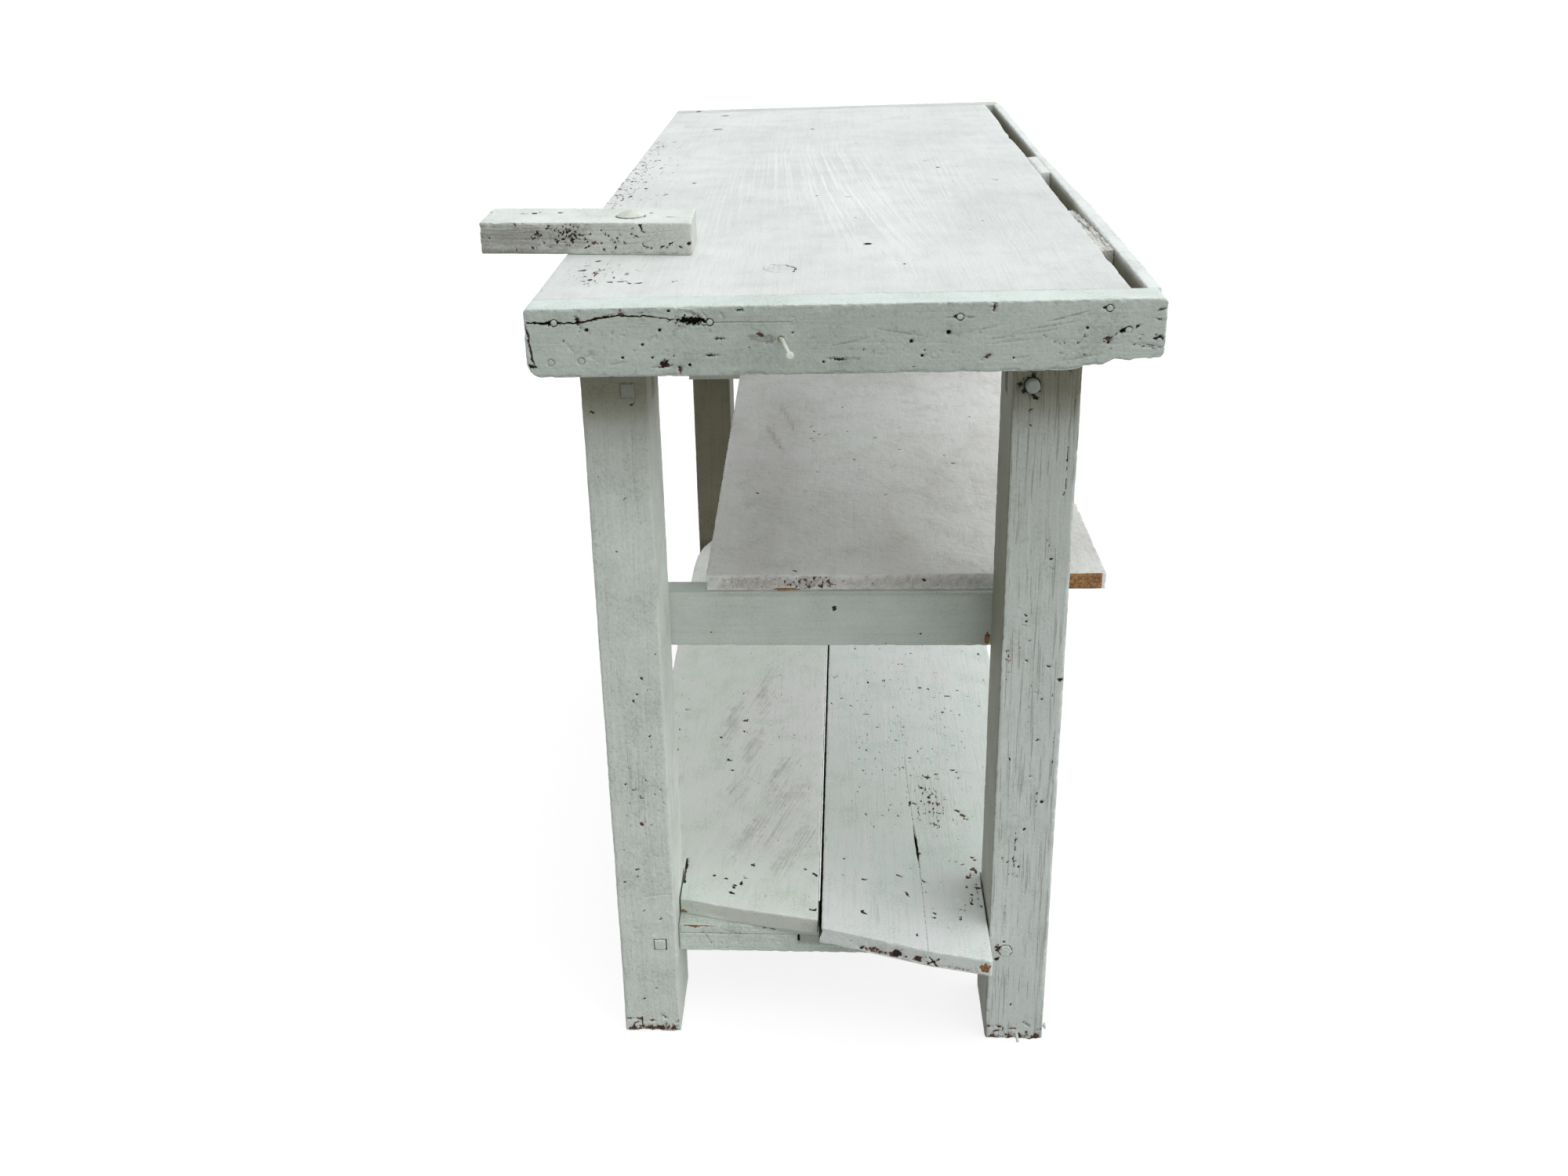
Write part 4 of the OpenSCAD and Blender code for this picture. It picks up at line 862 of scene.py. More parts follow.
CAP_HOLES = (
    # y, z, radius, depth
    (-199, 821, 2.0, 5), (-153, 808, 1.4, 3), (-138, 820, 1.6, 4), (-130, 836, 1.5, 4),
    (99, 814, 2.2, 6), (238, 812, 2.5, 7), (69, 807, 1.9, 4), (-170, 797, 1.4, 3),
    (-3, 791, 1.3, 3), (78, 795, 1.3, 3), (-219, 812, 1.0, 2), (-114, 790, 1.5, 3),
    (-28, 816, 1.0, 2), (130, 793, 1.0, 2), (-145, 797, 1.4, 1), (265, 808, 1.0, 2),
    (152, 792, 1.0, 2), (-64, 804, 0.8, 1), (210, 816, 1.6, 1), (30, 801, 0.9, 1),
)
CAP_CHIPS = (
    # y, z, half sizes, turn, depth, dark, bare
    (-112, 827.3, 13.5, 4.2, -1, 9.0, 1.4, 1.0),
    (-226, 827, 7, 3.0, 0, 2.4, 0.9, 1.0),
    (-206, 829, 2.2, 4.5, 15, 2.0, 0.7, 1.0),
    (-187, 831, 13, 1.6, 14, 1.0, 0.0, 0.85),
    (-170, 834, 3.0, 4.0, -20, 1.6, 0.4, 0.9),
    (-150, 835, 6, 2.0, 10, 0.7, 0.0, 0.65),
    (-112, 834, 9, 1.8, -18, 0.9, 0.2, 0.65),
    (-100, 832, 5, 1.4, -50, 0.8, 0.3, 0.6),
    (-122, 820, 7, 2.4, 30, 0.8, 0.1, 0.4),
    (-71, 836, 3.2, 2.0, 0, 1.8, 0.8, 1.0),
    (-86, 832, 1.4, 4.2, 25, 0.9, 0.5, 0.2),
    (-248, 790, 5.5, 2.6, -10, 2.2, 0.8, 1.0),
    (-252, 822, 2.5, 4.0, 0, 1.2, 0.5, 0.9),
    (-135, 791, 5.0, 3.4, 20, 2.6, 0.9, 1.0),
    (-136, 789, 9.5, 2.0, 6, 1.0, 0.0, 0.8),
    (-122, 786, 2.2, 4.0, 0, 1.2, 0.0, 0.9),
    (-97, 798, 6, 1.5, 0, 1.6, 0.8, 0.7),
    (-88, 812, 5.2, 1.5, -3, 1.8, 0.9, 0.5),
    (-197, 800, 3.6, 4.0, 35, 0.9, 0.5, 0.5),
    (-214, 806, 2.0, 4.4, 35, 0.7, 0.3, 0.0),
    (-175, 792, 7, 1.5, 8, 0.8, 0.4, 0.3),
    (-205, 826, 1.2, 5.0, 25, 1.0, 0.6, 0.0),
    (-153, 829, 1.4, 3.2, 20, 0.7, 0.5, 0.0),
    (10, 793, 9, 1.8, -4, 1.2, 0.7, 0.6),
    (22, 793, 5, 1.6, 0, 0.8, 0.4, 0.0),
    (135, 834, 2.2, 5.2, -12, 1.6, 0.6, 0.9),
    (101, 826, 3.2, 1.2, 0, 0.6, 0.5, 0.0),
    (116, 826.5, 4.0, 1.4, 0, 0.8, 0.6, 0.5),
    (130, 793, 5.2, 2.8, 30, 1.0, 0.5, 0.8),
    (158, 792, 8, 1.4, 6, 0.6, 0.4, 0.4),
    (227, 805, 4.6, 3.2, 15, 1.4, 0.5, 1.0),
    (258, 797, 12, 4, -14, 0.8, 0.2, 0.75),
    (268, 830, 4, 1.4, 15, 1.0, 0.6, 1.0),
    (267, 822, 5, 1.2, -12, 0.8, 0.5, 0.8),
    (250, 816, 3.6, 2.0, 30, 0.9, 0.6, 0.8),
    (232, 800, 7, 1.2, 5, 0.6, 0.4, 0.7),
    (205, 797, 8, 1.2, 6, 0.4, 0.0, 0.6),
)
CAP_CRACK = (
    (-253, 828), (-226, 827), (-207, 827), (-191, 830.5), (-174, 832.5), (-148, 832), (-128, 829),
)
CAP_CRACK_WIDE = (1.0, 0.8, 0.5, 0.35, 0.5, 0.25, 0.2)
# y, z and radius of filled nail heads, y of nicks in the lower edge, and y, z, half length and
# turn of long scratches
CAP_FILLED = ((45, 800, 4.2), (-28, 826, 3.4), (87, 795, 3.0), (252, 805, 3.0), (262, 798, 2.6))
CAP_NICKS = (-215, -130, -60, 10, 75, 150, 190, 215)
CAP_SCRATCHES = (
    (160, 812, 32, 8), (178, 818, 26, 9), (150, 806, 24, 6), (128, 817, 22, 12),
    (195, 826, 20, 14), (60, 815, 22, -10), (20, 808, 18, 12), (205, 790, 20, 4),
)


def marks_cap_near(m):
    face = "x+"
    cap_nail_seats(m, face)
    # the long crack from the left end, and its faint run out
    m.crack(face, CAP_CRACK, CAP_CRACK_WIDE, 5.0, bare=1.0, jag=1.2)
    m.crack(face, [(-128, 829), (-97, 826), (-60, 825.5), (-28, 825)], [0.25, 0.5, 0.25, 0.05], 1.2,
            dark=0.5, seed=8)
    m.crack(face, [(-251, 825), (-249, 818), (-247, 797), (-245, 791)], [0.9, 1.3, 1.2, 0.6], 2.0,
            dark=0.5, bare=0.9, jag=0.9, seed=13)
    for k, (y, z, ry, rz, turn, deep, dark, bare) in enumerate(CAP_CHIPS):
        m.blob(face, y, z, ry * 0.85, rz * 0.75, turn, 0.3, 1.0, 21 + k, deep,
               dark=dark * 0.85, bare=bare)
    for y, z, r, deep in CAP_HOLES:
        m.hole(face, y, z, 0.8 * r, deep, soft=0.3, rim=0.8)
    # nail heads that were filled and painted over
    for y, z, r in CAP_FILLED:
        m.ring(face, y, z, r, 0.9, 0.4, 0.25)
    # around the bent nail
    m.blob(face, -47, 811, 5, 4, 20, deep=0.6, dark=0.15, bare=0.6, grey=1.8, rough=0.7, seed=46)
    m.blob(face, -56, 812, 10, 3.4, -6, grey=1.8, rough=0.6, shade=0.25, seed=47)
    m.blob(face, -55, 815, 4, 2.2, -30, deep=0.6, bare=0.95, dark=0.2, rough=0.9, seed=48)
    m.hole(face, -38, 811, 2.2, 3.0, dark=0.8)
    # specks thickest at both ends
    m.blob(face, -232, 801, 14, 11, speck=0.85, soft=0.5, seed=34)
    m.blob(face, -243, 808, 8, 18, speck=0.6, soft=0.5, seed=35)
    m.blob(face, 242, 796, 24, 7, -6, speck=0.7, rough=0.6, soft=0.5, seed=56)
    m.blob(face, 256, 814, 12, 8, speck=0.75, rough=0.7, soft=0.5, seed=58)
    m.scatter(face, -160, 812, 70, 16, 22, 0.9, seed=60, dark=0.6, bare=0.3)
    m.scatter(face, 60, 806, 80, 16, 22, 0.9, seed=61, dark=0.6, bare=0.3)
    m.scatter(face, 215, 806, 50, 14, 22, 1.0, seed=62, dark=0.7, bare=0.5)
    # the lower edge is nicked along its whole length
    for y in CAP_NICKS:
        m.blob(face, y, 781.5, 8, 1.5, deep=0.8, bare=0.55, dark=0.2, rough=0.8, seed=int(y) % 97)
    # the top arris: a thin brown line at the middle, and one deep nick
    m.blob(face, 0, 838, 60, 1.0, bare=0.45, rough=0.8, seed=64)
    m.blob("z+", -18, 135, 6, 5, deep=0.5, dark=0.3, bare=0.6, seed=65)
    # long curved scratches in the right half
    for k, (y, z, length, turn) in enumerate(CAP_SCRATCHES):
        m.blob(face, y, z, length, 0.9, turn, deep=0.3, grey=1.6, shade=0.3, rough=0.5, seed=90 + k)
    # the whole face is a little dim, most of all at its middle
    index, y, z = m.face(face)
    m.lay(index, 0.35 + 0.1 * np.exp(-((y - 20) / 110.0) ** 2), shade=1.0)


def round_corner(p, at_y, at_z, side_y, side_z, r):
    """Pulls the square corner of a cap in to a round one."""
    u, v = (p[:, 1] - at_y) * side_y, (p[:, 2] - at_z) * side_z
    inside = (u < r) & (v < r)
    du, dv = r - u, r - v
    distance, square = np.hypot(du, dv), np.maximum(du, dv)
    k = np.where(inside & (distance > 1e-6), square / np.maximum(distance, 1e-6), 1.0)
    k = 1 + (k - 1) * smoothstep(0.0, 1.0, np.clip(square / r, 0, 1))
    p[:, 1] = np.where(inside, at_y + side_y * (r - du * k), p[:, 1])
    p[:, 2] = np.where(inside, at_z + side_z * (r - dv * k), p[:, 2])


def round_cap(p):
    round_corner(p, CAP_F, CAP_Z, 1, 1, 14.0)
    round_corner(p, CAP_F, BENCH, 1, -1, 4.5)
    round_corner(p, RAIL_OUT, BENCH, -1, -1, 5.5)


# the chewed lower edge of the near cap, towards its back end
CHEWED_Y = (196, 203, 209, 217, 224, 232, 246, 254, 262, 270, 274)
CHEWED = (0.3, 0.6, 3.2, 4.6, 4.2, 9.0, 8.0, 9.5, 9.0, 10.5, 15.5)


def warp_cap_near(p):
    round_cap(p)
    low = np.interp(p[:, 1], CHEWED_Y, CHEWED, left=0.0)
    probe = np.stack([p[:, 1] / 5.0, p[:, 0] / 9.0, 0 * p[:, 1]], -1)
    jag = (fractal(probe, 77) - 0.5) * 2.4 * (low > 0.5)
    low = np.clip(low + np.abs(jag), 0, 20)
    t = 1 - (p[:, 2] - CAP_Z) / (BENCH - CAP_Z)
    p[:, 2] += low * np.clip(t, 0, 1) ** 3


board(
    "cap_near", "end_cap_near", (-CAP_T, CAP_F, CAP_Z), (0, RAIL_OUT, BENCH), (3.0, 1.15, 1.0),
    PAINT_CAP, 21, r=2.4,
    bands=(
        [(-3, 0, 0.7)],
        [(-128, -92, 0.55), (-256, -240, 0.6), (-52, -38, 0.6)],
        [(822, 838, 0.4), (786, 796, 0.6)],
    ),
    marks=marks_cap_near, warp=warp_cap_near, wave=0.35, nicks=5.5, nick_depth=0.7, fray=0.8,
    nick_radius=(4, 22), flat=("x-",), edge_bare=0.45, ridge=0.15, ridge_axis="y",
    nick_edges=("x+y-", "x+y+", "x+z-", "x+z+", "y-z-", "y+z-", "y+z+", "y-z+"),
)


def marks_cap_far(m):
    cap_nail_seats(m, "x-")
    m.blob("x-", 40, 806, 60, 12, 4, speck=0.5, rough=0.4, soft=0.6, seed=66)
    m.crack("x-", [(273, 812), (240, 810), (190, 811.5), (150, 810)], [1.0, 0.8, 0.6, 0.1], 3.0,
            bare=0.5, seed=67)
    m.blob("x-", -238, 790, 8, 5, 10, deep=1.0, bare=0.9, dark=0.4, seed=68)
    m.scatter("x-", 0, 808, 180, 18, 60, 1.3, seed=71)
    m.blob("z+", -1343, -214, 9, 5, deep=0.5, bare=0.9, dark=0.3, seed=69)


board(
    "cap_far", "end_cap_far", (FAR_X, CAP_F, CAP_Z), (FAR_X + CAP_T, RAIL_OUT, BENCH),
    (4.0, 2.2, 2.0), PAINT_CAP_FAR, 23, r=2.4,
    marks=marks_cap_far, warp=round_cap, wave=0.35, nicks=3.5, nick_depth=0.9, flat=("x+",),
    nick_edges=("x-y-", "x-y+", "x-z-", "x-z+", "y-z-", "y+z-", "y+z+", "y-z+"),
)


# The tool rail and the fillers in its slots
# how far the rail's outer face stands off RAIL_OUT, as a share of the way along from its near end
RAIL_SHARE = (0, 0.07, 0.14, 0.18, 0.27, 0.32, 0.38, 0.44, 0.5, 0.57, 0.65, 0.73, 0.83, 0.93, 1)
RAIL_BOW = (1.4, 2.1, 2.8, 3.6, 3.6, 3.2, 1.0, 0.5, -1.1, -2.8, -1.6, -0.3, 0.0, 1.4, 1.0)
RAIL_NEAR, RAIL_FAR = -CAP_T, FAR_X + CAP_T


def warp_rail(p):
    share = (RAIL_NEAR - p[:, 0]) / (RAIL_NEAR - RAIL_FAR)
    t = np.clip((p[:, 1] - RAIL_IN) / (RAIL_OUT - RAIL_IN), 0, 1)
    p[:, 1] += np.interp(share, RAIL_SHARE, RAIL_BOW) * t


def marks_rail(m):
    index, x, z = m.face("y-")
    m.lay(index, smoothstep(*RAIL_DIM, z), shade=1.0)
    m.blob("z+", -250, 268, 90, 6, speck=0.5, soft=0.6, seed=72)
    m.blob("y+", -700, 810, 420, 26, speck=0.3, grey=0.8, soft=0.8, seed=73)
    m.scatter("y+", -660, 810, 560, 22, 90, 1.5, seed=74)
    m.crack("y+", [(-37, 822), (-120, 820), (-230, 823), (-330, 821)], [0.9, 1.1, 0.7, 0.1], 2.0,
            dark=0.8, bare=0.5, seed=75)


board(
    "rail", "tool_rail", (RAIL_FAR, RAIL_IN, CAP_Z), (RAIL_NEAR, RAIL_OUT, BENCH),
    (3.0, 2.2, 3.0), PAINT_RAIL, 25, r=1.8,
    marks=marks_rail, warp=warp_rail, wave=0.3, nicks=3.0, nick_depth=0.7, nick_radius=(5, 30),
    nick_edges=("y-z+", "y+z+", "y+z-"), flat=("x+", "x-"),
)


def marks_flush(m):
    m.blob("z+", -700, 256, 60, 10, grey=0.8, seed=76)
    m.crack("z+", [(-761, 251), (-700, 250.8), (-634, 251)], [0.5, 0.4, 0.5], 0.8,
            dark=0.45, seed=77)


board(
    "filler_flush", "spacer_flush", *corners("spacer_flush"), (3.4, 1.6, 3.4), PAINT_RAIL, 27,
    r=0.9, marks=marks_flush, nicks=2.0, nick_depth=0.5, nick_edges=("x+z+", "x-z+"),
    flat=("y+", "y-"),
)

ROUGH_LOW, ROUGH_HIGH = corners("spacer_rough")
# how far the splintered filler has dropped, as a share of its fall, from its far to its near end
ROUGH_SHARE = (
    0, 0.04, 0.1, 0.16, 0.22, 0.27, 0.33, 0.38, 0.45, 0.5, 0.56, 0.62, 0.69, 0.75, 0.82, 0.88,
    0.94, 1,
)
ROUGH_DROP = (
    1, 0.78, 0.9, 0.62, 0.8, 0.55, 0.68, 0.42, 0.55, 0.3, 0.42, 0.2, 0.31, 0.12, 0.21, 0.08,
    0.14, 0.06,
)
ROUGH_FALL = 6.5
# where the torn far end begins across the filler, over what width, and how far it is torn
TORN_FROM, TORN_OVER, TORN_DEEP = 254, 8.5, 5.0


def warp_rough(p):
    share = np.clip((p[:, 0] - ROUGH_LOW[0]) / (ROUGH_HIGH[0] - ROUGH_LOW[0]), 0, 1)
    flat = 0 * p[:, 0]
    long = fractal(np.stack([p[:, 0] / 20.0, p[:, 1] / 1.8, flat], -1), 91, 4)
    short = fractal(np.stack([p[:, 0] / 6.0, p[:, 1] / 1.1, flat], -1), 92)
    drop = np.interp(share, ROUGH_SHARE, ROUGH_DROP) * ROUGH_FALL
    drop += (long * 3.2 + short * 1.6) * (1.2 - 0.7 * share)
    t = np.clip((p[:, 2] - CAP_Z) / (ROUGH_HIGH[2] - CAP_Z), 0, 1)
    p[:, 2] = CAP_Z + t * (BENCH - drop - CAP_Z)
    # the far end is torn away beside the rail
    torn = (1 - smoothstep(0.0, 0.2, share)) * smoothstep(12, 0, ROUGH_HIGH[2] - p[:, 2])
    p[:, 1] -= torn * TORN_DEEP * np.clip((p[:, 1] - TORN_FROM) / TORN_OVER, 0, 1)


def marks_rough(m):
    m.blob("z+", -330, 256, 70, 2, 1, dark=0.6, rough=0.9, seed=78)
    m.blob("z+", -250, 259, 40, 1, -2, dark=0.6, rough=0.9, seed=79)


board(
    "filler_rough", "spacer_rough", ROUGH_LOW, ROUGH_HIGH, (1.3, 0.6, 2.6), SPLIT_WOOD, 29, r=0.7,
    marks=marks_rough, warp=warp_rough, nicks=0.5, nick_depth=0.4, flat=("y+", "y-"), fray=0.2,
    slot="bare_wood",
)


# The legs
# y and z of pits in the faces of the two near legs, and of small bumps in the paint of the left one
LEFT_PITS = (
    (-172, 467), (-185, 439), (-190, 422), (-195, 413), (-180, 426), (-171, 383), (-181, 361),
    (-181, 374), (-204, 336), (-209, 317), (-202, 309), (-194, 302), (-187, 321), (-174, 310),
    (-171, 294), (-215, 236), (-201, 212), (-204, 204), (-216, 197), (-189, 196), (-207, 294),
    (-177, 286), (-195, 348), (-189, 733), (-179, 723), (-215, 651), (-192, 631), (-201, 576),
    (-222, 581), (-217, 715), (-198, 160), (-181, 150), (-210, 138), (-190, 60), (-205, 44),
)
LEFT_BUMPS = ((-175, 268), (-208, 236), (-186, 205), (-171, 158), (-214, 150), (-190, 128))
RIGHT_PITS = (
    (183, 713), (182, 698), (180, 702), (215, 749), (218, 665), (217, 632), (204, 586), (205, 579),
    (208, 565), (209, 557), (187, 502), (188, 508), (181, 516), (187, 497), (192, 481), (182, 474),
    (191, 460), (173, 448), (207, 418), (202, 425), (216, 422), (205, 371), (212, 453), (174, 232),
    (189, 230), (181, 227), (194, 222), (185, 214), (190, 211), (181, 128), (193, 47), (167, 37),
    (200, 330), (178, 350), (212, 300), (195, 268),
)
# y, z and half length of the bare lines on the right leg
RIGHT_LINES = (
    (187, 240, 36), (172, 470, 40), (221, 350, 30), (206, 310, 28), (196, 420, 30), (212, 560, 30),
    (180, 160, 26),
)
# around the round peg of the right leg
PEG_CHIPS = ((172, 737), (177, 731), (184, 745), (184, 727), (186, 724))
# y, from the front side of a leg, and z
FOOT_CHIPS = (
    (5, 17), (12, 11), (24, 6), (34, 5), (45, 9), (54, 7), (44, 21), (15, 17), (30, 15), (58, 14),
)
# y, from the same side, and half width of the bare places along the sawn edge of a foot
FOOT_BARE = ((9, 6), (26, 4), (38, 7), (55, 5))
# how dim a leg is in the corner under the top, by height
CORNER_Z = (590, 640, 665, 683, 700, 717, 733)
CORNER_SHADE = (0.0, 0.07, 0.16, 0.26, 0.46, 0.83, 1.0)


def foot_scoops(low, high, seed):
    """Bites out of the lower edges of a foot."""
    rng = np.random.default_rng(seed)
    scoops = []
    for _ in range(18):
        r, deep = rng.uniform(5, 13), rng.uniform(0.8, 3.4)
        if rng.random() < 0.6:
            centre = np.array([high[0], rng.uniform(low[1], high[1]), 0.0])
            way = np.array([math.cos(rng.uniform(0.2, 1.3)), rng.normal(0, 0.2), -0.7])
        else:
            side = rng.choice([-1.0, 1.0])
            centre = np.array([rng.uniform(low[0], high[0]), low[1] if side < 0 else high[1], 0.0])
            way = np.array([rng.normal(0, 0.2), side, -0.8])
        way /= np.linalg.norm(way)
        scoops.append((centre + way * (r - deep), r))
    return scoops


def marks_every_leg(m, side, end_x, way):
    """Pegs, mortise, worn foot and the dim place under the top.

    side is -1 for a front leg; the leg's end face is at end_x and looks along way.
    """
    face, middle = ("x+" if way > 0 else "x-"), end_x - way * MORTISE_BACK
    low_y = -LEG_OUT if side < 0 else LEG_IN
    if side < 0:
        m.square(face, -PEG_Y, PEG_Z, 6.9, 0.7)
        m.square(face, -PEG_Y, LOW_PEG_Z, 6.5, 0.8, 0.8)
    else:
        m.ring(face, PEG_Y, PEG_Z, 7.0, 1.2, 1.2, 0.8)
        m.ring(face, PEG_Y, LOW_PEG_Z, 6.9, 0.9, 0.7, 0.5)
    # the open end of the mortise beside the tenon
    inner = "y+" if side < 0 else "y-"
    m.slab(inner, middle - MORTISE_HALF, middle + MORTISE_HALF, *MORTISE_Z, 6.0, dark=0.9)
    for k, (y, z) in enumerate(FOOT_CHIPS):
        m.blob(face, low_y + y, z, 4.2, 1.6, 23 * k, deep=1.2, dark=0.35, bare=0.85, rough=1.0,
               seed=80 + k + (0 if side < 0 else 11))
    m.blob(face, low_y + 33, 2, 31, 8, speck=2.0, rough=1.0, soft=0.7, seed=88)
    for k, (y, wide) in enumerate(FOOT_BARE):
        m.blob(face, low_y + y, 3, wide, 5, deep=1.0, bare=0.9, dark=0.3, rough=1.0, seed=110 + k)
    m.blob(face, low_y + 31, 10, 33, 12, speck=1.0, bare=0.25, soft=0.5, rough=0.7, seed=90)
    for name in ("x+", "x-", "y+", "y-"):
        m.fade(name, 1, CORNER_Z, CORNER_SHADE)


def marks_leg_left(m):
    face = "x+"
    marks_every_leg(m, -1, NEAR_X, 1)
    m.pits(face, LEFT_PITS, 1.3, 0.8, seed=31)
    m.blob(face, -195, 269, 2.4, 3.0, 20, deep=0.8, bare=1.0, seed=91)
    m.blob(face, -197, 310, 22, 46, 8, grey=1.2, soft=0.9, seed=92)
    m.scatter(face, -198, 300, 24, 80, 30, 0.9, seed=93, dark=0.6, bare=0.5)
    # a shallow crease across the face and a few fine upright cracks
    m.crack(face, [(-197, 178), (-184, 181), (-168, 182)], [0.4, 0.9, 0.5], 0.8, dark=0.45, seed=94)
    for k, (y, z) in enumerate(LEFT_BUMPS):
        m.blob(face, y, z, 2.2, 3.0, 20 * k, deep=-0.7, light=1.5, rough=0.6, seed=320 + k)
    m.crack(face, [(-181, 705), (-183, 660), (-180, 610)], [0.2, 0.4, 0.1], 0.8, dark=0.4, seed=95)
    m.crack(face, [(-217, 560), (-216, 470), (-219, 400)], [0.1, 0.4, 0.1], 0.7, dark=0.3, seed=96)
    # painted light: the inner side is lighter low down, and lighter along its arris by the face
    index, x, z = m.face("y+")
    m.lay(index, smoothstep(560, 230, z), light=0.9)
    m.lay(index, np.exp(-(NEAR_X - x) / 5.0), light=0.8)


def marks_leg_right(m):
    face = "x+"
    marks_every_leg(m, 1, NEAR_X, 1)
    # the round peg was driven through the paint
    m.blob(face, 181, 737, 11, 10, deep=1.4, dark=0.5, bare=0.7, rough=0.8, soft=0.3, seed=71)
    for k, (y, z) in enumerate(PEG_CHIPS):
        m.blob(face, y, z, 3.0, 1.8, 40 * k, deep=1.4, dark=0.8, bare=1.0, rough=0.9, seed=72 + k)
    m.pits(face, RIGHT_PITS, 1.4, 0.8, seed=32)
    m.pits(face, ((222, 439), (176, 106)), 2.6, 0.6, dark=0.8, bare=1.0, seed=33)
    m.crack(face, [(226, 742), (220, 715), (216, 690)], [0.4, 0.6, 0.1], 0.8, dark=0.5, seed=98)
    m.crack(face, [(218, 680), (217, 655), (218, 630)], [0.1, 0.8, 0.1], 0.8, dark=0.8, seed=99)
    # thin paint along the grain, over most of the face
    m.blob(face, 203, 500, 15, 150, grey=0.35, soft=0.8, seed=100)
    m.blob(face, 198, 300, 18, 120, grey=0.35, soft=0.8, seed=101)
    m.blob(face, 182, 560, 10, 60, grey=0.5, soft=0.8, seed=102)
    # broken lines of bare wood along the grain
    for k, (y, z, half) in enumerate(RIGHT_LINES):
        m.blob(face, y, z, 2.4, half, speck=1.3, grey=0.8, rough=1.0, soft=0.6, seed=310 + k)
    m.ring(face, PEG_Y, LOW_PEG_Z, 6.9, 1.1, 0.8, 0.7)
    m.blob(face, PEG_Y - 8, LOW_PEG_Z + 2, 3.4, 6, bare=0.9, dark=0.3, rough=1.0, seed=318)
    # painted shade, deepening towards the top of the face
    m.fade(face, 1, [450, 700], [0.0, 0.3])
    # the side towards the middle is in the dark of the shelf
    m.fade("y-", 1, [100, 330, 500, 700], [0.6, 0.75, 0.9, 0.92])


def marks_leg_far_left(m):
    marks_every_leg(m, -1, FAR_END, -1)
    face = "x+"
    # painted shade on the end face and the inner side, deep under the top
    m.wash(face, shade=1.0)
    m.wash("y+", shade=1.0)
    m.blob(face, -203, 598, 5, 8, 10, deep=1.0, bare=1.0, dark=0.4, seed=103)
    m.blob(face, -212, 575, 10, 12, speck=0.9, bare=0.35, seed=104)
    m.hole(face, -205, 742, 1.6, 2)
    m.scatter("x-", -196, 400, 28, 300, 50, 1.5, seed=105)


def marks_leg_far_right(m):
    marks_every_leg(m, 1, FAR_END, -1)
    m.scatter("x-", 196, 400, 28, 300, 50, 1.5, seed=106)


# the heights of the upper and the lower pegs, where the lattice is close, and its reach beside them
PEG_BAND, LOW_PEG_BAND, PEG_SIDE = (728, 746), (108, 127), 9


def leg(name, node, material, seed, marks, fine):
    """One leg, up to the underside of the top; fine legs are close to the camera."""
    low, high = corners(node)
    high[2] = CAP_Z
    low[2] = 0.0
    centre = -PEG_Y if low[1] < 0 else PEG_Y
    beside = (centre - PEG_SIDE, centre + PEG_SIDE)
    if fine:
        step = (4.0, 1.2, 1.2)
        bands = (None, [(*beside, 0.8)], [(*PEG_BAND, 0.8), (*LOW_PEG_BAND, 0.9), (0, 22, 0.9)])
    else:
        step = (4.0, 2.2, 3.0)
        bands = (None, [(*beside, 1.5)], [(*PEG_BAND, 1.5), (0, 16, 1.6)])
    board(
        name, node, low, high, step, material, seed, r=3.4, bands=bands, marks=marks, wave=0.5,
        ridge=0.3 if fine else 0.2, ridge_axis="z", nicks=2.4, nick_radius=(6, 46),
        nick_edges=("x-y-", "x-y+", "x+y-", "x+y+", "x+z-", "x-z-", "y-z-", "y+z-"),
        flat=("z+", "z-"), scoops=foot_scoops(low, high, seed + 1), edge_bare=0.4,
    )


leg("leg_left_near", "leg_front_near", PAINT_LEG_LEFT, 31, marks_leg_left, True)
leg("leg_right_near", "leg_back_near", PAINT_LEG_RIGHT, 33, marks_leg_right, True)
leg("leg_left_far", "leg_front_far", PAINT_LEG_FAR_SHADED, 35, marks_leg_far_left, False)
leg("leg_right_far", "leg_back_far", PAINT_LEG_FAR_SHADED, 37, marks_leg_far_right, False)


# The cross rails and the bearers
def visible_part(node):
    """A cross rail between the legs, without its tenons."""
    low, high = corners(node)
    low[1], high[1] = -LEG_IN, LEG_IN
    return low, high


for tag, seed in (("near", 41), ("far", 43)):
    upper_low, upper_high = visible_part("upper_rail_" + tag)
    upper_low[2] = CAP_Z - 38.0
    board(
        "upper_" + tag, "upper_rail_" + tag, upper_low, upper_high, (4, 3, 3), PAINT_CROSS, seed,
        ridge=0.2, ridge_axis="y", nick_edges=("x-z-", "x+z-"), flat=("y+", "y-", "z+"),
    )


# the old housing in the face of the near lower rail, its open left end, and the groove beside it
HOUSING_Y, HOUSING_Z, HOUSING_DEEP = (-34.0, 60.5), (104.2, 116.4), 5.0
HOUSING_END_Y, HOUSING_END_Z = (-36.4, -34.0), (104.2, 116.2)
GROOVE_Z = 116.0


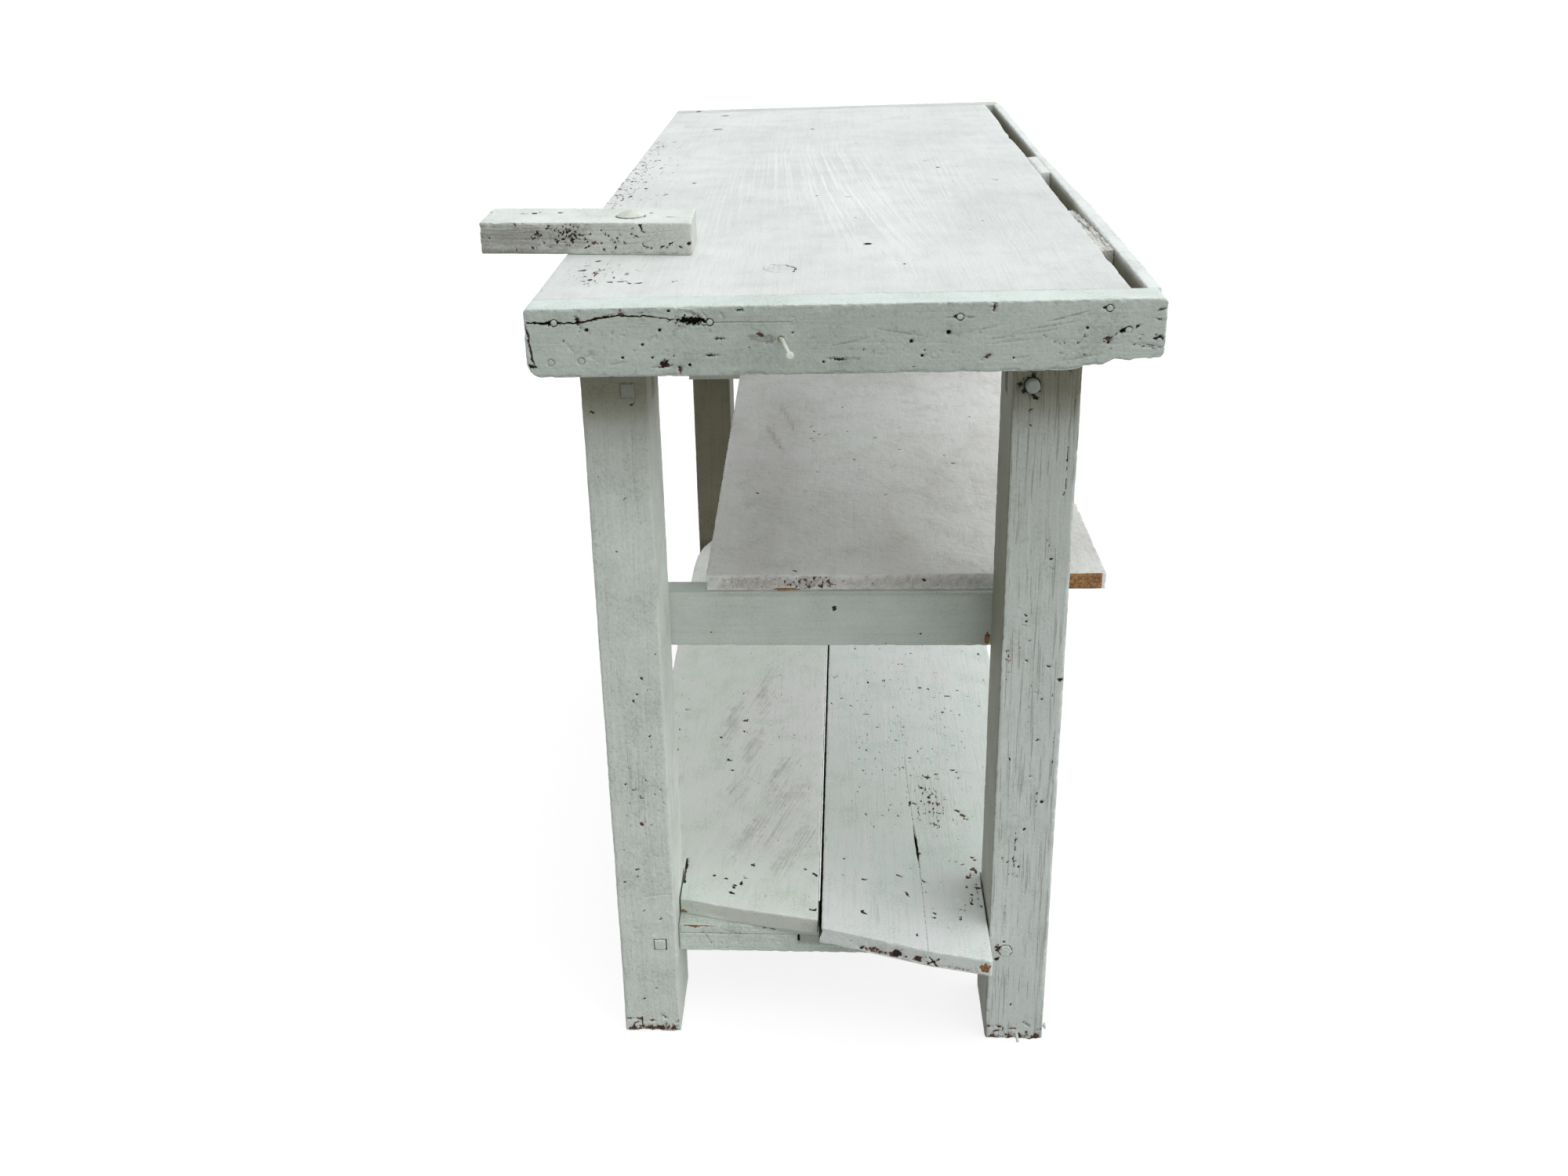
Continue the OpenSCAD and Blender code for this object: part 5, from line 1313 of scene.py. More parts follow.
def marks_low_near(m):
    face = "x+"
    index, y, z = m.face(face)
    groove = (1 - smoothstep(0.4, 1.0, np.abs(z - GROOVE_Z))) * (y < HOUSING_Y[0])
    m.lay(index, groove, 1.2, dark=0.5)
    m.slab(face, *HOUSING_END_Y, *HOUSING_END_Z, 12.0, dark=1.0)
    # painted shade in the housing, under the planks
    m.slab(face, *HOUSING_Y, *HOUSING_Z, HOUSING_DEEP, shade=0.4)
    # splinters and cracks at the left end
    m.blob(face, -150, 126, 10, 1.8, -8, deep=0.8, raw=1.0, rough=0.9, soft=0.5, seed=107)
    m.blob(face, -136, 126, 7, 1.0, -6, raw=0.9, deep=0.5, rough=0.9, seed=108)
    m.crack(face, [(-139, 118), (-134, 111), (-131, 103)], [0.6, 0.9, 0.2], 1.5, dark=0.5, seed=109)
    m.crack(face, [(-120, 124), (-112, 118), (-98, 117)], [0.3, 0.7, 0.2], 1.2, dark=0.4, seed=110)
    m.crack(face, [(-84, 127), (-83, 110), (-85, 96)], [0.3, 0.5, 0.2], 0.8, dark=0.35, seed=111)
    m.blob(face, -68, 123.5, 13, 1.6, -10, deep=1.2, dark=0.4, bare=0.8, rough=0.6, seed=112)
    m.blob(face, -66, 121, 30, 1.0, -6, deep=0.9, grey=1.0, rough=0.6, seed=113)
    m.scatter(face, -90, 106, 60, 10, 16, 0.9, seed=114, dark=0.5, bare=0.5)
    m.scatter("x-", 0, 110, 130, 12, 30, 1.2, seed=115)


board(
    "lower_near", "lower_rail_near", *visible_part("lower_rail_near"), (4, 1.3, 1.0), PAINT_LOW, 45,
    r=2.6, bands=(None, [(-38, -32, 0.5)], [(114, 118, 0.35)]), marks=marks_low_near, wave=0.7,
    ridge=0.3, ridge_axis="y", nicks=3.0, nick_edges=("x-z-", "x+z-", "x-z+", "x+z+"),
    flat=("y+", "y-", "z+"),
)
board(
    "lower_far", "lower_rail_far", *visible_part("lower_rail_far"), (5, 3, 3), PAINT_LOW, 47,
    r=2.4, ridge=0.2, ridge_axis="y", nicks=1.5, nick_edges=("x-z-", "x+z-"),
    flat=("y+", "y-", "z+"),
)


def marks_bearer_near(m):
    face = "x+"
    m.blob(face, 5, 471, 2.6, 3.4, 10, deep=1.2, dark=0.9, bare=0.6, seed=116)
    m.pits(face, ((-122, 442), (59, 429), (42, 426), (95, 441)), 1.7, 0.7, seed=117)
    m.blob(face, 160, 440, 5, 13, speck=0.9, bare=0.5, soft=0.6, seed=118)
    m.blob(face, 162, 437, 3, 7, raw=0.9, soft=0.5, seed=119)
    # painted shade along the top of the face, under the shelf
    index, y, z = m.face(face)
    shelf_shade = smoothstep(SHELF_Z - 7, SHELF_Z - 2, z) * smoothstep(-150, -100, y)
    m.lay(index, shelf_shade, shade=0.25)
    m.crack(face, [(-150, 486), (-60, 484.5), (60, 485.5), (160, 484)], [0.2, 0.4, 0.3, 0.1], 0.5,
            dark=0.2, seed=120)
    # painted shade towards the right end
    m.lay(index, smoothstep(135, 165, y), shade=0.3)


def marks_bearer_far(m):
    m.scatter("x-", 0, 464, 190, 18, 50, 1.4, seed=131)
    # painted shade on the face that looks along the bench, under the shelf
    m.wash("x+", shade=0.5)


board(
    "bearer_near", "shelf_bearer_near", *corners("shelf_bearer_near"), (4, 2.0, 1.8),
    PAINT_CROSS, 51, marks=marks_bearer_near, wave=0.35, nicks=2.0, edge_bare=0.5,
    nick_edges=("x-z-", "x+z-", "x-y-", "x-y+"),
)
board(
    "bearer_far", "shelf_bearer_far", *corners("shelf_bearer_far"), (4, 3, 3), PAINT_CROSS, 53,
    r=1.8, marks=marks_bearer_far, wave=0.3, nicks=2.0,
    nick_edges=("x-z-", "x+z-", "x+y-", "x+y+"),
)

# The loose shelf lies a little askew on the bearers
SHELF_TURN = math.radians(0.5)
SHELF_LEN, SHELF_WIDE, SHELF_THICK = 964.4, 407.0, 18.0
SHELF_AT = (-207.0, -127.0)
shelf_place = Matrix.Translation((*SHELF_AT, 0)) @ Matrix.Rotation(SHELF_TURN, 4, "Z")
# x and y of specks on top, on the bench
SHELF_SPECKS = (
    (-439, 55), (-436, 161), (-442, -94), (-219, -35), (-227, 90), (-311, 42), (-269, 143),
    (-520, 60), (-600, -20), (-350, -80), (-380, 190), (-700, 120),
)


def marks_shelf(m):
    edge = "x+"
    middle = SHELF_Z + SHELF_THICK / 2
    # the near edge is crumbly, grey brown and mottled, with some painted shade, and its right end
    # is raw wood
    m.blob(edge, 70, middle, 90, 9, grey=1.6, speck=0.9, shade=0.22, rough=0.6, soft=0.7, seed=132)
    m.blob(edge, 108, middle, 34, 7, speck=1.6, grey=1.4, rough=0.8, soft=0.6, seed=133)
    m.blob(edge, 220, middle, 110, 9, grey=1.4, speck=0.7, shade=0.22, rough=0.6, soft=0.7,
           seed=134)
    m.blob(edge, 84, SHELF_Z + 1.5, 18, 1.4, raw=1.0, rough=0.8, seed=135)
    m.blob(edge, 224, middle + 2, 3, 2.4, deep=0.8, dark=0.6, bare=1.0, seed=136)
    m.scatter(edge, 140, middle, 150, 7, 60, 0.8, seed=137, dark=0.5, bare=0.6)
    index, y, z = m.face(edge)
    m.lay(index, smoothstep(350, 356, y) * (1 - smoothstep(401, 404, y)), raw=1.3)
    m.blob(edge, 379, middle, 20, 8, raw=1.3, rough=0.2, soft=0.2, seed=138)
    top = "z+"
    m.pits(top, [(x - SHELF_AT[0], y - SHELF_AT[1]) for x, y in SHELF_SPECKS], 2.0, 0.5, dark=0.6,
           bare=0.4, seed=139)
    # painted shade on the near part of the shelf, under the top
    m.fade(top, 0, [-420, -210], [0.0, 0.2])
    m.blob(top, -330, 190, 240, 120, grey=0.3, soft=0.8, seed=140)
    m.blob(top, -560, 60, 220, 40, 6, grey=0.7, soft=0.8, seed=141)
    # white blotches, which are also painted light on the back of the shelf
    m.blob(top, -420, 250, 260, 60, light=0.6, soft=0.9, seed=146)
    m.scatter(top, -430, 150, 170, 150, 34, 1.9, seed=148, dark=0.9, bare=0.6)
    m.blob(top, -440, 60, 60, 7, 12, grey=1.6, rough=0.7, soft=0.8, seed=149)
    m.blob(top, -520, 76, 70, 6, 10, grey=1.6, rough=0.7, soft=0.8, seed=330)
    # white blotches, which are also painted light on the far part of the shelf
    m.blob(top, -760, 200, 160, 110, light=0.8, soft=0.9, seed=147)
    m.blob(top, -170, 330, 180, 26, speck=0.35, soft=0.6, seed=142)
    m.blob(top, -60, 120, 70, 90, grey=0.4, soft=0.8, seed=143)
    m.scatter(top, -160, 180, 130, 140, 26, 1.4, seed=144, dark=0.35, bare=0.1)
    # dents and pimples on the near half of the board
    for name in (top, edge):
        index, a, b = m.face(name)
        probe = np.stack([a / 5.5, b / 5.5, 0 * a], -1)
        m.depth[index] += np.clip(noise(probe, 145) - 0.6, 0, 1) * 1.6


board(
    "shelf", "shelf_board", (-SHELF_LEN, 0, SHELF_Z), (0, SHELF_WIDE, SHELF_Z + SHELF_THICK),
    (3.4, 2.4, 1.4), PAINT_SHELF_LIT, 55, r=1.6,
    bands=([(-10, 0, 0.9), (-260, -10, 2.4)], None, None),
    marks=marks_shelf, place=shelf_place, wave=0.25, nicks=2.6, fray=0.9,
    nick_edges=("x+z+", "x+z-", "x+y-", "x+y+", "y-z+", "y+z+", "y+z-", "x-z+"), flat=("z-",),
    edge_bare=0.6,
)

# The two planks on the lower rails
PLANK_TOP = corners("plank_front")[1][2]
PLANK_FAR_X = corners("plank_front")[0][0]
FRONT_NEAR, FRONT_EDGE = -116.0, -13.5
BACK_NEAR, BACK_EDGE = -52.0, -10.5
PLANK_SIDE = 225.5
PLANK_GAP = 3.4
NOTCH_Y = LEG_IN - 1.5
# y of the gap at the near legs' face, and how far it has moved over at its far end
GAP_START, GAP_SHIFT, GAP_LENGTH = -12.0, 12.5, 1154.0
# the planks' near ends are sawn askew: x at places across each, drawn in from SKEW_FROM on
FRONT_CUT_Y, FRONT_CUT_X = (-163.5, -91, -14), (-150.5, -131.5, FRONT_NEAR)
BACK_CUT_Y = (-10, 24, 62, 99.4, 128, 160, 163.5, 226)
BACK_CUT_X = (-103, -92, -79, -66, -60, BACK_NEAR, -55, -55)
SKEW_FROM = -420
# how far the front plank's outer edge draws in, by the distance along the bench
DRAWN_X, DRAWN_IN = (1062, 1105, 1148, 1175, 1300), (0, 1.5, 10, 21, 21)


def gap_y(x):
    """The middle of the gap between the planks."""
    return GAP_START + (NEAR_X - x) * GAP_SHIFT / GAP_LENGTH


# how deep a notch is beyond the leg, and the outer reach of the block that cuts it
NOTCH_ROOM = 3.0
CUT_X, CUT_Y, CUT_Z = (-1400.0, 0.0), 300.0, (100.0, 160.0)


def cut_notches(plank, side):
    """Takes the two leg notches out of a plank."""
    inner, outer = sorted((side * NOTCH_Y, side * CUT_Y))
    for low_x, high_x in ((NEAR_BACK - NOTCH_ROOM, CUT_X[1]), (CUT_X[0], FAR_FRONT + NOTCH_ROOM)):
        points = [(x, y, z) for x in (low_x, high_x) for y in (inner, outer) for z in CUT_Z]
        sides = [(0, 1, 3, 2), (4, 6, 7, 5), (0, 4, 5, 1), (2, 3, 7, 6), (0, 2, 6, 4), (1, 5, 7, 3)]
        cutter = make_object("notch", (np.array(points) + SHIFT) / 1000.0, sides, smooth=False)
        cut = plank.modifiers.new("notch", "BOOLEAN")
        cut.operation = "DIFFERENCE"
        cut.solver = "EXACT"
        cut.object = cutter
        graph = bpy.context.evaluated_depsgraph_get()
        result = bpy.data.meshes.new_from_object(plank.evaluated_get(graph), depsgraph=graph)
        plank.modifiers.clear()
        old, plank.data = plank.data, result
        bpy.data.meshes.remove(old)
        notch_mesh = cutter.data
        bpy.data.objects.remove(cutter)
        bpy.data.meshes.remove(notch_mesh)


# x and y of specks on each plank
FRONT_SPECKS = (
    (-546, -115), (-525, -63), (-510, -50), (-442, -128), (-423, -122), (-499, -142), (-516, -113),
    (-576, -193), (-204, -88), (-208, -29), (-196, -17), (-175, -131), (-171, -115), (-167, -98),
    (-145, -109), (-155, -106), (-180, -94), (-132, -21),
)
# x, y, half length and, on the front plank, turn of the strokes
FRONT_STROKES = (
    (-330, -70, 60, -17), (-300, -58, 70, -18), (-290, -84, 46, -16), (-355, -48, 50, -20),
    (-470, -100, 60, -9), (-250, -100, 40, -14), (-540, -130, 70, -6), (-405, -64, 60, -14),
    (-225, -50, 46, -17), (-268, -36, 50, -19), (-640, -90, 90, -4), (-380, -110, 50, -12),
)
BACK_STROKES = (
    (-600, 60, 120), (-420, 20, 90), (-260, 50, 80), (-180, 20, 60), (-700, 150, 120),
    (-520, 150, 110), (-330, 70, 70),
)
BACK_SPECKS = (
    (-711, 107), (-662, 79), (-655, 52), (-587, 26), (-565, 45), (-671, 0), (-671, 25), (-610, 14),
    (-634, 137), (-639, 126), (-630, 176), (-510, 98), (-469, 45), (-477, 35), (-421, 39),
    (-423, 66), (-494, 89), (-446, 101), (-407, 109), (-415, 130), (-423, 152), (-520, 173),
    (-616, 185), (-616, 160), (-553, 134), (-571, 152), (-663, 211), (-589, 200), (-742, 210),
    (-220, -8), (-203, 12), (-184, 72), (-165, 35), (-152, 78), (-146, 79), (-98, 33), (-99, 119),
    (-122, 108), (-115, 106), (-77, 84), (-180, 99), (-220, 145),
)
# the worn places beside the split of the right plank and where it meets the leg
BACK_CHIPS = (
    (-231, 158), (-208, 158), (-198, 148), (-214, 154), (-178, 161), (-177, 144), (-162, 152),
    (-146, 158), (-152, 149), (-131, 139), (-119, 135), (-234, 98), (-225, 135),
    (-385, 112), (-330, 148), (-322, 155), (-300, 120), (-345, 100), (-405, 118),
)


def plank_gap_side(m, face):
    """The edge of a plank along the gap is in the dark."""
    index, x, z = m.face(face)
    m.lay(index, smoothstep(PLANK_TOP - 1.5, PLANK_TOP - 5.0, z), shade=1.0, dark=0.75)


def marks_plank_front(m):
    top = "z+"
    m.pits(top, FRONT_SPECKS, 2.4, 0.5, dark=1.0, bare=0.6, seed=150)
    # oblique strokes of a dry brush
    for k, (x, y, length, turn) in enumerate(FRONT_STROKES):
        m.blob(top, x, y, length, 14, turn, grey=1.15, rough=0.8, soft=0.8, seed=151 + k)
        m.blob(top, x + 20, y + 9, length, 12, turn, light=0.8, rough=0.8, soft=0.8, seed=171 + k)
    m.blob(top, -150, -88, 26, 40, speck=0.3, grey=0.5, soft=0.6, seed=190)
    m.blob(top, -480, -200, 300, 14, speck=0.8, soft=0.6, seed=191)
    m.blob(top, -500, -60, 420, 90, speck=0.55, soft=0.9, seed=189)
    m.blob("x+", -126, 133, 10, 3, deep=1.0, bare=0.5, dark=0.2, seed=192)
    m.blob("x+", -60, 130, 40, 1.4, bare=0.5, seed=193)
    m.blob("x+", -160, 131, 4, 2.2, deep=0.8, raw=1.0, rough=0.9, seed=194)
    # painted shade: a dark line along the gap at the notch
    m.crack(top, [(-203, -162.6), (-150, -162.6)], [2.0, 2.0], 2.0, seed=195)
    # painted shade: the plank is darker under the shelf, and so is its near end
    m.fade(top, 0, [-500, -260, -135], [0.1, 0.14, 0.0])
    m.wash("x+", shade=0.36)
    plank_gap_side(m, "y+")


def warp_plank_front(p):
    near = np.interp(p[:, 1], FRONT_CUT_Y, FRONT_CUT_X)
    t = np.clip((p[:, 0] - SKEW_FROM) / (FRONT_NEAR - SKEW_FROM), 0, 1)
    x = p[:, 0] + (near - FRONT_NEAR) * t
    # the right edge follows the gap, and the outer edge draws in at the far end
    limit = gap_y(x) - PLANK_GAP / 2
    s = np.clip((p[:, 1] + 100) / (FRONT_EDGE + 100), 0, 1)
    y = p[:, 1] + (limit - FRONT_EDGE) * s
    draw = np.interp(-x, DRAWN_X, DRAWN_IN)
    q = np.clip((-y - 120) / (PLANK_SIDE - 120), 0, 1)
    p[:, 0], p[:, 1] = x, y + draw * q


plank_front = board(
    "plank_left", "plank_front",
    (PLANK_FAR_X, -PLANK_SIDE, PLANK_Z), (FRONT_NEAR, FRONT_EDGE, PLANK_TOP),
    (3.4, 3.0, 2.2), PAINT_PLANK_LEFT_LIT, 61,
    bands=([(-420, -124, 1.8), (-124, FRONT_NEAR, 1.1)], [(-165, -13, 1.8)], None),
    marks=marks_plank_front, warp=warp_plank_front, wave=0.3, ridge=0.12, nicks=2.4,
    nick_edges=("x+z+", "x+z-", "y+z+", "y-z+", "y-z-"), flat=("z-",),
)
cut_notches(plank_front, -1)

# the split in the right plank, drawn on the lattice at SPLIT_LINE and then bent to its course
SPLIT_LINE = 96.0
SPLIT_X = (-640, -499, -353, -286, -226, -150, -66)
SPLIT_Y = (88, 90.7, 93.9, 96.2, 98.4, 99.5, 99.4)
# how wide the split has opened
OPEN_X = (-640, -500, -353, -300, -262, -236, -200, -150, -60)
OPEN = (0.0, 0.0, 0.2, 0.4, 1.2, 1.0, 0.3, 0.1, 0.3)


def marks_plank_back(m):
    top = "z+"
    # the split is deep where it is open, and elsewhere a thin line
    index, x, y = m.face(top)
    d = np.abs(y - SPLIT_LINE)
    wide = np.interp(x, OPEN_X, OPEN)
    open_part = smoothstep(0.3, 1.2, wide)
    thin = smoothstep(-620, -420, x) * 0.55
    m.lay(index, (1 - smoothstep(0.1, 0.8, d)) * open_part, 9.0)
    m.lay(index, (1 - smoothstep(0.1, 0.7, d)) * thin, 0.7)
    m.lay(index, (1 - smoothstep(0.2, 1.0, d)) * np.maximum(open_part, thin), dark=0.95)
    m.lay(index, (1 - smoothstep(0.5, 2.6, d)) * open_part, bare=0.9)
    m.pits(top, BACK_SPECKS, 1.9, 0.5, dark=1.0, bare=0.7, seed=200)
    m.pits(top, BACK_CHIPS, 2.6, 0.8, dark=0.5, bare=1.2, seed=201)
    m.scatter(top, -480, 90, 330, 100, 130, 1.3, seed=199, dark=0.8, bare=0.9)
    m.blob(top, -520, 100, 330, 120, speck=0.7, soft=0.9, seed=198)
    m.blob(top, -350, 120, 90, 24, speck=1.2, grey=1.0, soft=0.7, seed=202)
    # painted shade where the plank lies under the shelf
    m.fade(top, 0, [-900, -600, -330, -200, -90], [0.0, 0.1, 0.24, 0.14, 0.0])
    m.blob(top, -310, 150, 24, 8, speck=1.0, bare=0.5, deep=0.5, rough=0.8, seed=203)
    m.blob(top, -190, 150, 60, 14, speck=0.8, soft=0.6, seed=204)
    m.blob(top, -470, 55, 200, 45, 2, speck=0.15, grey=0.4, soft=0.8, seed=205)
    m.blob(top, -110, 45, 30, 10, grey=0.8, seed=206)
    for k, (x, y, length) in enumerate(BACK_STROKES):
        m.blob(top, x, y, length, 10, 3, grey=0.5, rough=0.8, soft=0.9, seed=207 + k)
        m.blob(top, x + 30, y - 14, length, 6, 2, light=0.8, rough=0.8, soft=0.7, seed=217 + k)
    # the near end is chewed along its lower arris
    end = "x+"
    m.blob(end, 51, 132, 20, 5, -6, deep=1.6, bare=0.85, dark=0.2, rough=0.8, seed=230)
    m.blob(end, 66, 134, 5, 5, deep=2.0, bare=1.0, dark=0.6, rough=0.7, seed=231)
    m.blob(end, 87, 133, 5, 4, 20, deep=2.2, bare=1.0, dark=0.5, rough=0.7, seed=232)
    m.crack(end, [(96, 130), (102, 134), (108, 139)], [0.8, 1.6, 0.6], 2.5,
            dark=0.9, bare=0.9, seed=233)
    m.crack(end, [(97, 139), (102, 134), (106, 128)], [0.6, 1.6, 0.8], 2.5,
            dark=0.9, bare=0.9, seed=234)
    m.blob(end, 155, 137, 5, 5, deep=1.4, raw=1.05, dark=0.2, rough=0.9, seed=235)
    m.blob(end, 10, 130, 16, 2, bare=0.6, rough=0.7, seed=236)
    m.blob(end, 125, 130, 20, 2.4, deep=1.0, bare=0.7, dark=0.2, rough=0.8, seed=237)
    m.scatter(end, 80, 134, 60, 7, 24, 1.1, seed=238, dark=0.7, bare=0.8)
    # painted shade on the near end
    m.wash(end, shade=0.14)
    plank_gap_side(m, "y-")


def warp_plank_back(p):
    near = np.interp(p[:, 1], BACK_CUT_Y, BACK_CUT_X)
    t = np.clip((p[:, 0] - SKEW_FROM) / (BACK_NEAR - SKEW_FROM), 0, 1)
    x = p[:, 0] + (near - BACK_NEAR) * t
    # the left edge follows the gap, and leans over it lower down
    left = gap_y(x) + PLANK_GAP / 2
    left = left - (PLANK_GAP - 0.5) * smoothstep(PLANK_TOP - 6.0, PLANK_TOP - 17.0, p[:, 2])
    course = np.interp(x, SPLIT_X, SPLIT_Y)
    inner = left + (p[:, 1] - BACK_EDGE) / (SPLIT_LINE - BACK_EDGE) * (course - left)
    outer = course + (p[:, 1] - SPLIT_LINE) / (PLANK_SIDE - SPLIT_LINE) * (PLANK_SIDE - course)
    y = np.where(p[:, 1] < SPLIT_LINE, inner, outer)
    # open the split
    off = p[:, 1] - SPLIT_LINE
    lift = np.exp(-np.abs(off) / 9.0) * np.clip((p[:, 2] - PLANK_TOP + 13.5) / 6.0, 0, 1)
    y += np.sign(off) * np.interp(x, OPEN_X, OPEN) * 0.5 * lift * (np.abs(off) > 0.3)
    p[:, 0], p[:, 1] = x, np.minimum(np.maximum(y, left), PLANK_SIDE)


plank_back = board(
    "plank_right", "plank_back",
    (PLANK_FAR_X, BACK_EDGE, PLANK_Z), (BACK_NEAR, PLANK_SIDE, PLANK_TOP),
    (3.4, 3.0, 1.8), PAINT_PLANK_RIGHT_LIT, 63, r=2.2,
    bands=(
        [(-440, -60, 1.7), (-60, BACK_NEAR, 1.0)],
        [(-10, 92, 1.8), (92, 100, 0.45), (100, 165, 1.6)],
        None,
    ),
    marks=marks_plank_back, warp=warp_plank_back, wave=0.3, ridge=0.12, nicks=3.0, nick_depth=0.9,
    nick_edges=("x+z+", "x+z-", "y-z+", "y+z+", "y+z-"), flat=("z-",),
)
cut_notches(plank_back, 1)


# The swinging bar
BAR_TURN = math.radians(7.5)
BOLT_AT = (-243.0, -189.0)
BAR_LOW, BAR_HIGH = BENCH, BENCH + 31.0
BAR_BACK, BAR_FACE = -42.5, 34.5
END_SKEW = math.tan(math.radians(9.3))
# the ends run askew, so along the near face the bar starts and ends this much further on
FACE_SHIFT = BAR_FACE * END_SKEW
BAR_START, BAR_STOP = -148.5, 62.5
bar_place = Matrix.Translation((*BOLT_AT, 0)) @ Matrix.Rotation(-BAR_TURN, 4, "Z")
# along the bar and height, on the near face
BAR_PITS = (
    (-90, 862), (-87, 859), (-84, 860), (-81, 859), (-89, 856), (-90, 847), (-85, 846), (-74, 868),
    (-74, 865), (-71, 864), (-66, 863), (-78, 852), (-72, 847), (-60, 867), (-56, 869), (-52, 868),
    (-49, 866), (-44, 866), (-57, 865), (-61, 861), (-63, 858), (-64, 854), (-58, 854), (-56, 849),
    (-50, 859), (-49, 854), (-48, 860), (-46, 863), (-42, 859), (-45, 855), (-51, 864), (-54, 861),
    (-59, 859),
)
BAR_BROWN = (
    (-31, 853), (-28, 851), (-24, 851), (-34, 849), (-36, 845), (-19, 845), (-13, 846), (-6, 846),
    (2, 851),
)
BAR_RIGHT = (
    (18, 867), (19, 864), (22, 860), (17, 867), (13, 858), (23, 848), (27, 847), (38, 847),
    (43, 849), (48, 850), (52, 849), (55, 848), (65, 851),
)
BAR_TOP = ((-11, -110), (-14, -100), (-17, -96), (-16, -74), (-18, 17), (-19, -146))


def on_face(places):
    """Places along the near face, moved to the bar's lattice before its ends are skewed."""
    return [(t - FACE_SHIFT, z) for t, z in places]


def marks_bar(m):
    face = "x+"
    m.pits(face, on_face(BAR_PITS), 1.0, 1.0, dark=1.0, bare=0.8, seed=250)
    m.pits(face, on_face(BAR_BROWN), 1.3, 0.6, dark=0.4, bare=1.0, seed=251)
    m.pits(face, on_face(BAR_RIGHT), 1.3, 0.8, dark=0.8, bare=0.9, seed=252)
    m.pits(face, on_face(((-106, 868), (-132, 855), (-141, 856))), 0.9, 0.8, dark=1.0, seed=253)
    m.scatter(face, -60, 858, 26, 10, 26, 0.9, seed=254, dark=0.9, bare=0.7)
    # the left third is grey brown, with a fine upright hatch
    m.blob(face, -122, 857, 42, 24, grey=1.5, shade=0.12, soft=0.4, seed=255)
    m.blob(face, -62, 858, 32, 17, grey=1.5, speck=0.7, soft=0.6, seed=256)
    m.blob(face, -14, 856, 30, 16, grey=0.9, soft=0.7, seed=248)
    # painted shade on the near face and on the end of the bar
    m.wash(face, shade=0.38)
    m.wash("y+", shade=0.38)
    m.scatter(face, -20, 856, 60, 14, 40, 0.8, seed=249, dark=0.9, bare=0.8)
    m.blob(face, -25, 846, 22, 4, -4, grey=0.9, speck=0.7, rough=0.7, seed=257)
    m.blob(face, 20, 862, 14, 5, 40, speck=0.6, rough=0.7, seed=258)
    m.blob(face, 42, 848, 20, 2.4, 4, speck=0.9, rough=0.7, seed=259)
    m.blob(face, 59, 851, 3, 2, deep=0.9, bare=1.0, dark=0.5, seed=260)
    m.crack(face, [(-113, 847), (-113, 841)], [0.5, 0.7], 1.2, dark=0.8, seed=261)
    m.crack(face, [(-25, 871), (-25, 863), (-24, 858)], [0.4, 0.6, 0.1], 0.8, dark=0.5, seed=262)
    m.crack(face, [(-45, 871), (-44, 856), (-45, 841)], [0.4, 0.3, 0.4], 0.4, dark=0.35, seed=263)
    # a few long curved lines in the mint part
    for k, (t, z, length) in enumerate(((10, 852, 34), (20, 858, 30), (28, 862, 24))):
        m.blob(face, t, z, length, 0.7, 6, grey=1.4, deep=0.15, rough=0.4, seed=264 + k)
    top = "z+"
    # painted shade: a dark ring where the dome meets the bar
    m.ring(top, 0, 0, 14.6, 1.0, 0.5, 0.95)
    m.pits(top, BAR_TOP, 2.6, 0.5, dark=0.9, bare=0.7, seed=268)
    m.blob(top, 4, 39, 2.0, 8, deep=0.4, dark=0.6, rough=0.6, seed=269)
    m.blob(top, -10, -100, 12, 26, grey=0.9, speck=0.3, soft=0.7, seed=270)
    m.blob("y+", 5, 853, 14, 6, speck=0.7, grey=0.5, soft=0.6, seed=271)
    m.blob("y-", 0, 856, 30, 12, grey=1.2, speck=0.5, soft=0.6, seed=272)
    m.scatter("x-", -40, 856, 80, 10, 40, 1.2, seed=273)
    m.blob("x-", -60, 856, 60, 10, grey=1.0, speck=0.3, soft=0.7, seed=274)


def warp_bar(p):
    """Skews both ends of the bar, and rounds off its far left corner."""
    p[:, 1] += p[:, 0] * END_SKEW
    corner = (p[:, 0] - BAR_BACK) + (p[:, 1] - BAR_START - BAR_BACK * END_SKEW)
    short = np.clip(6.0 - corner, 0, None)
    p[:, 0] += short * 0.5
    p[:, 1] += short * 0.5


board(
    "bar", "swing_bar", (BAR_BACK, BAR_START, BAR_LOW), (BAR_FACE, BAR_STOP, BAR_HIGH),
    (1.8, 1.1, 0.9), PAINT_BAR, 71, r=2.6, body="swing",
    marks=marks_bar, warp=warp_bar, place=bar_place, wave=0.45, ridge=0.2, ridge_axis="y",
    nicks=6.0, nick_radius=(5, 30), fray=0.9, flat=("z-",), edge_bare=0.55,
)


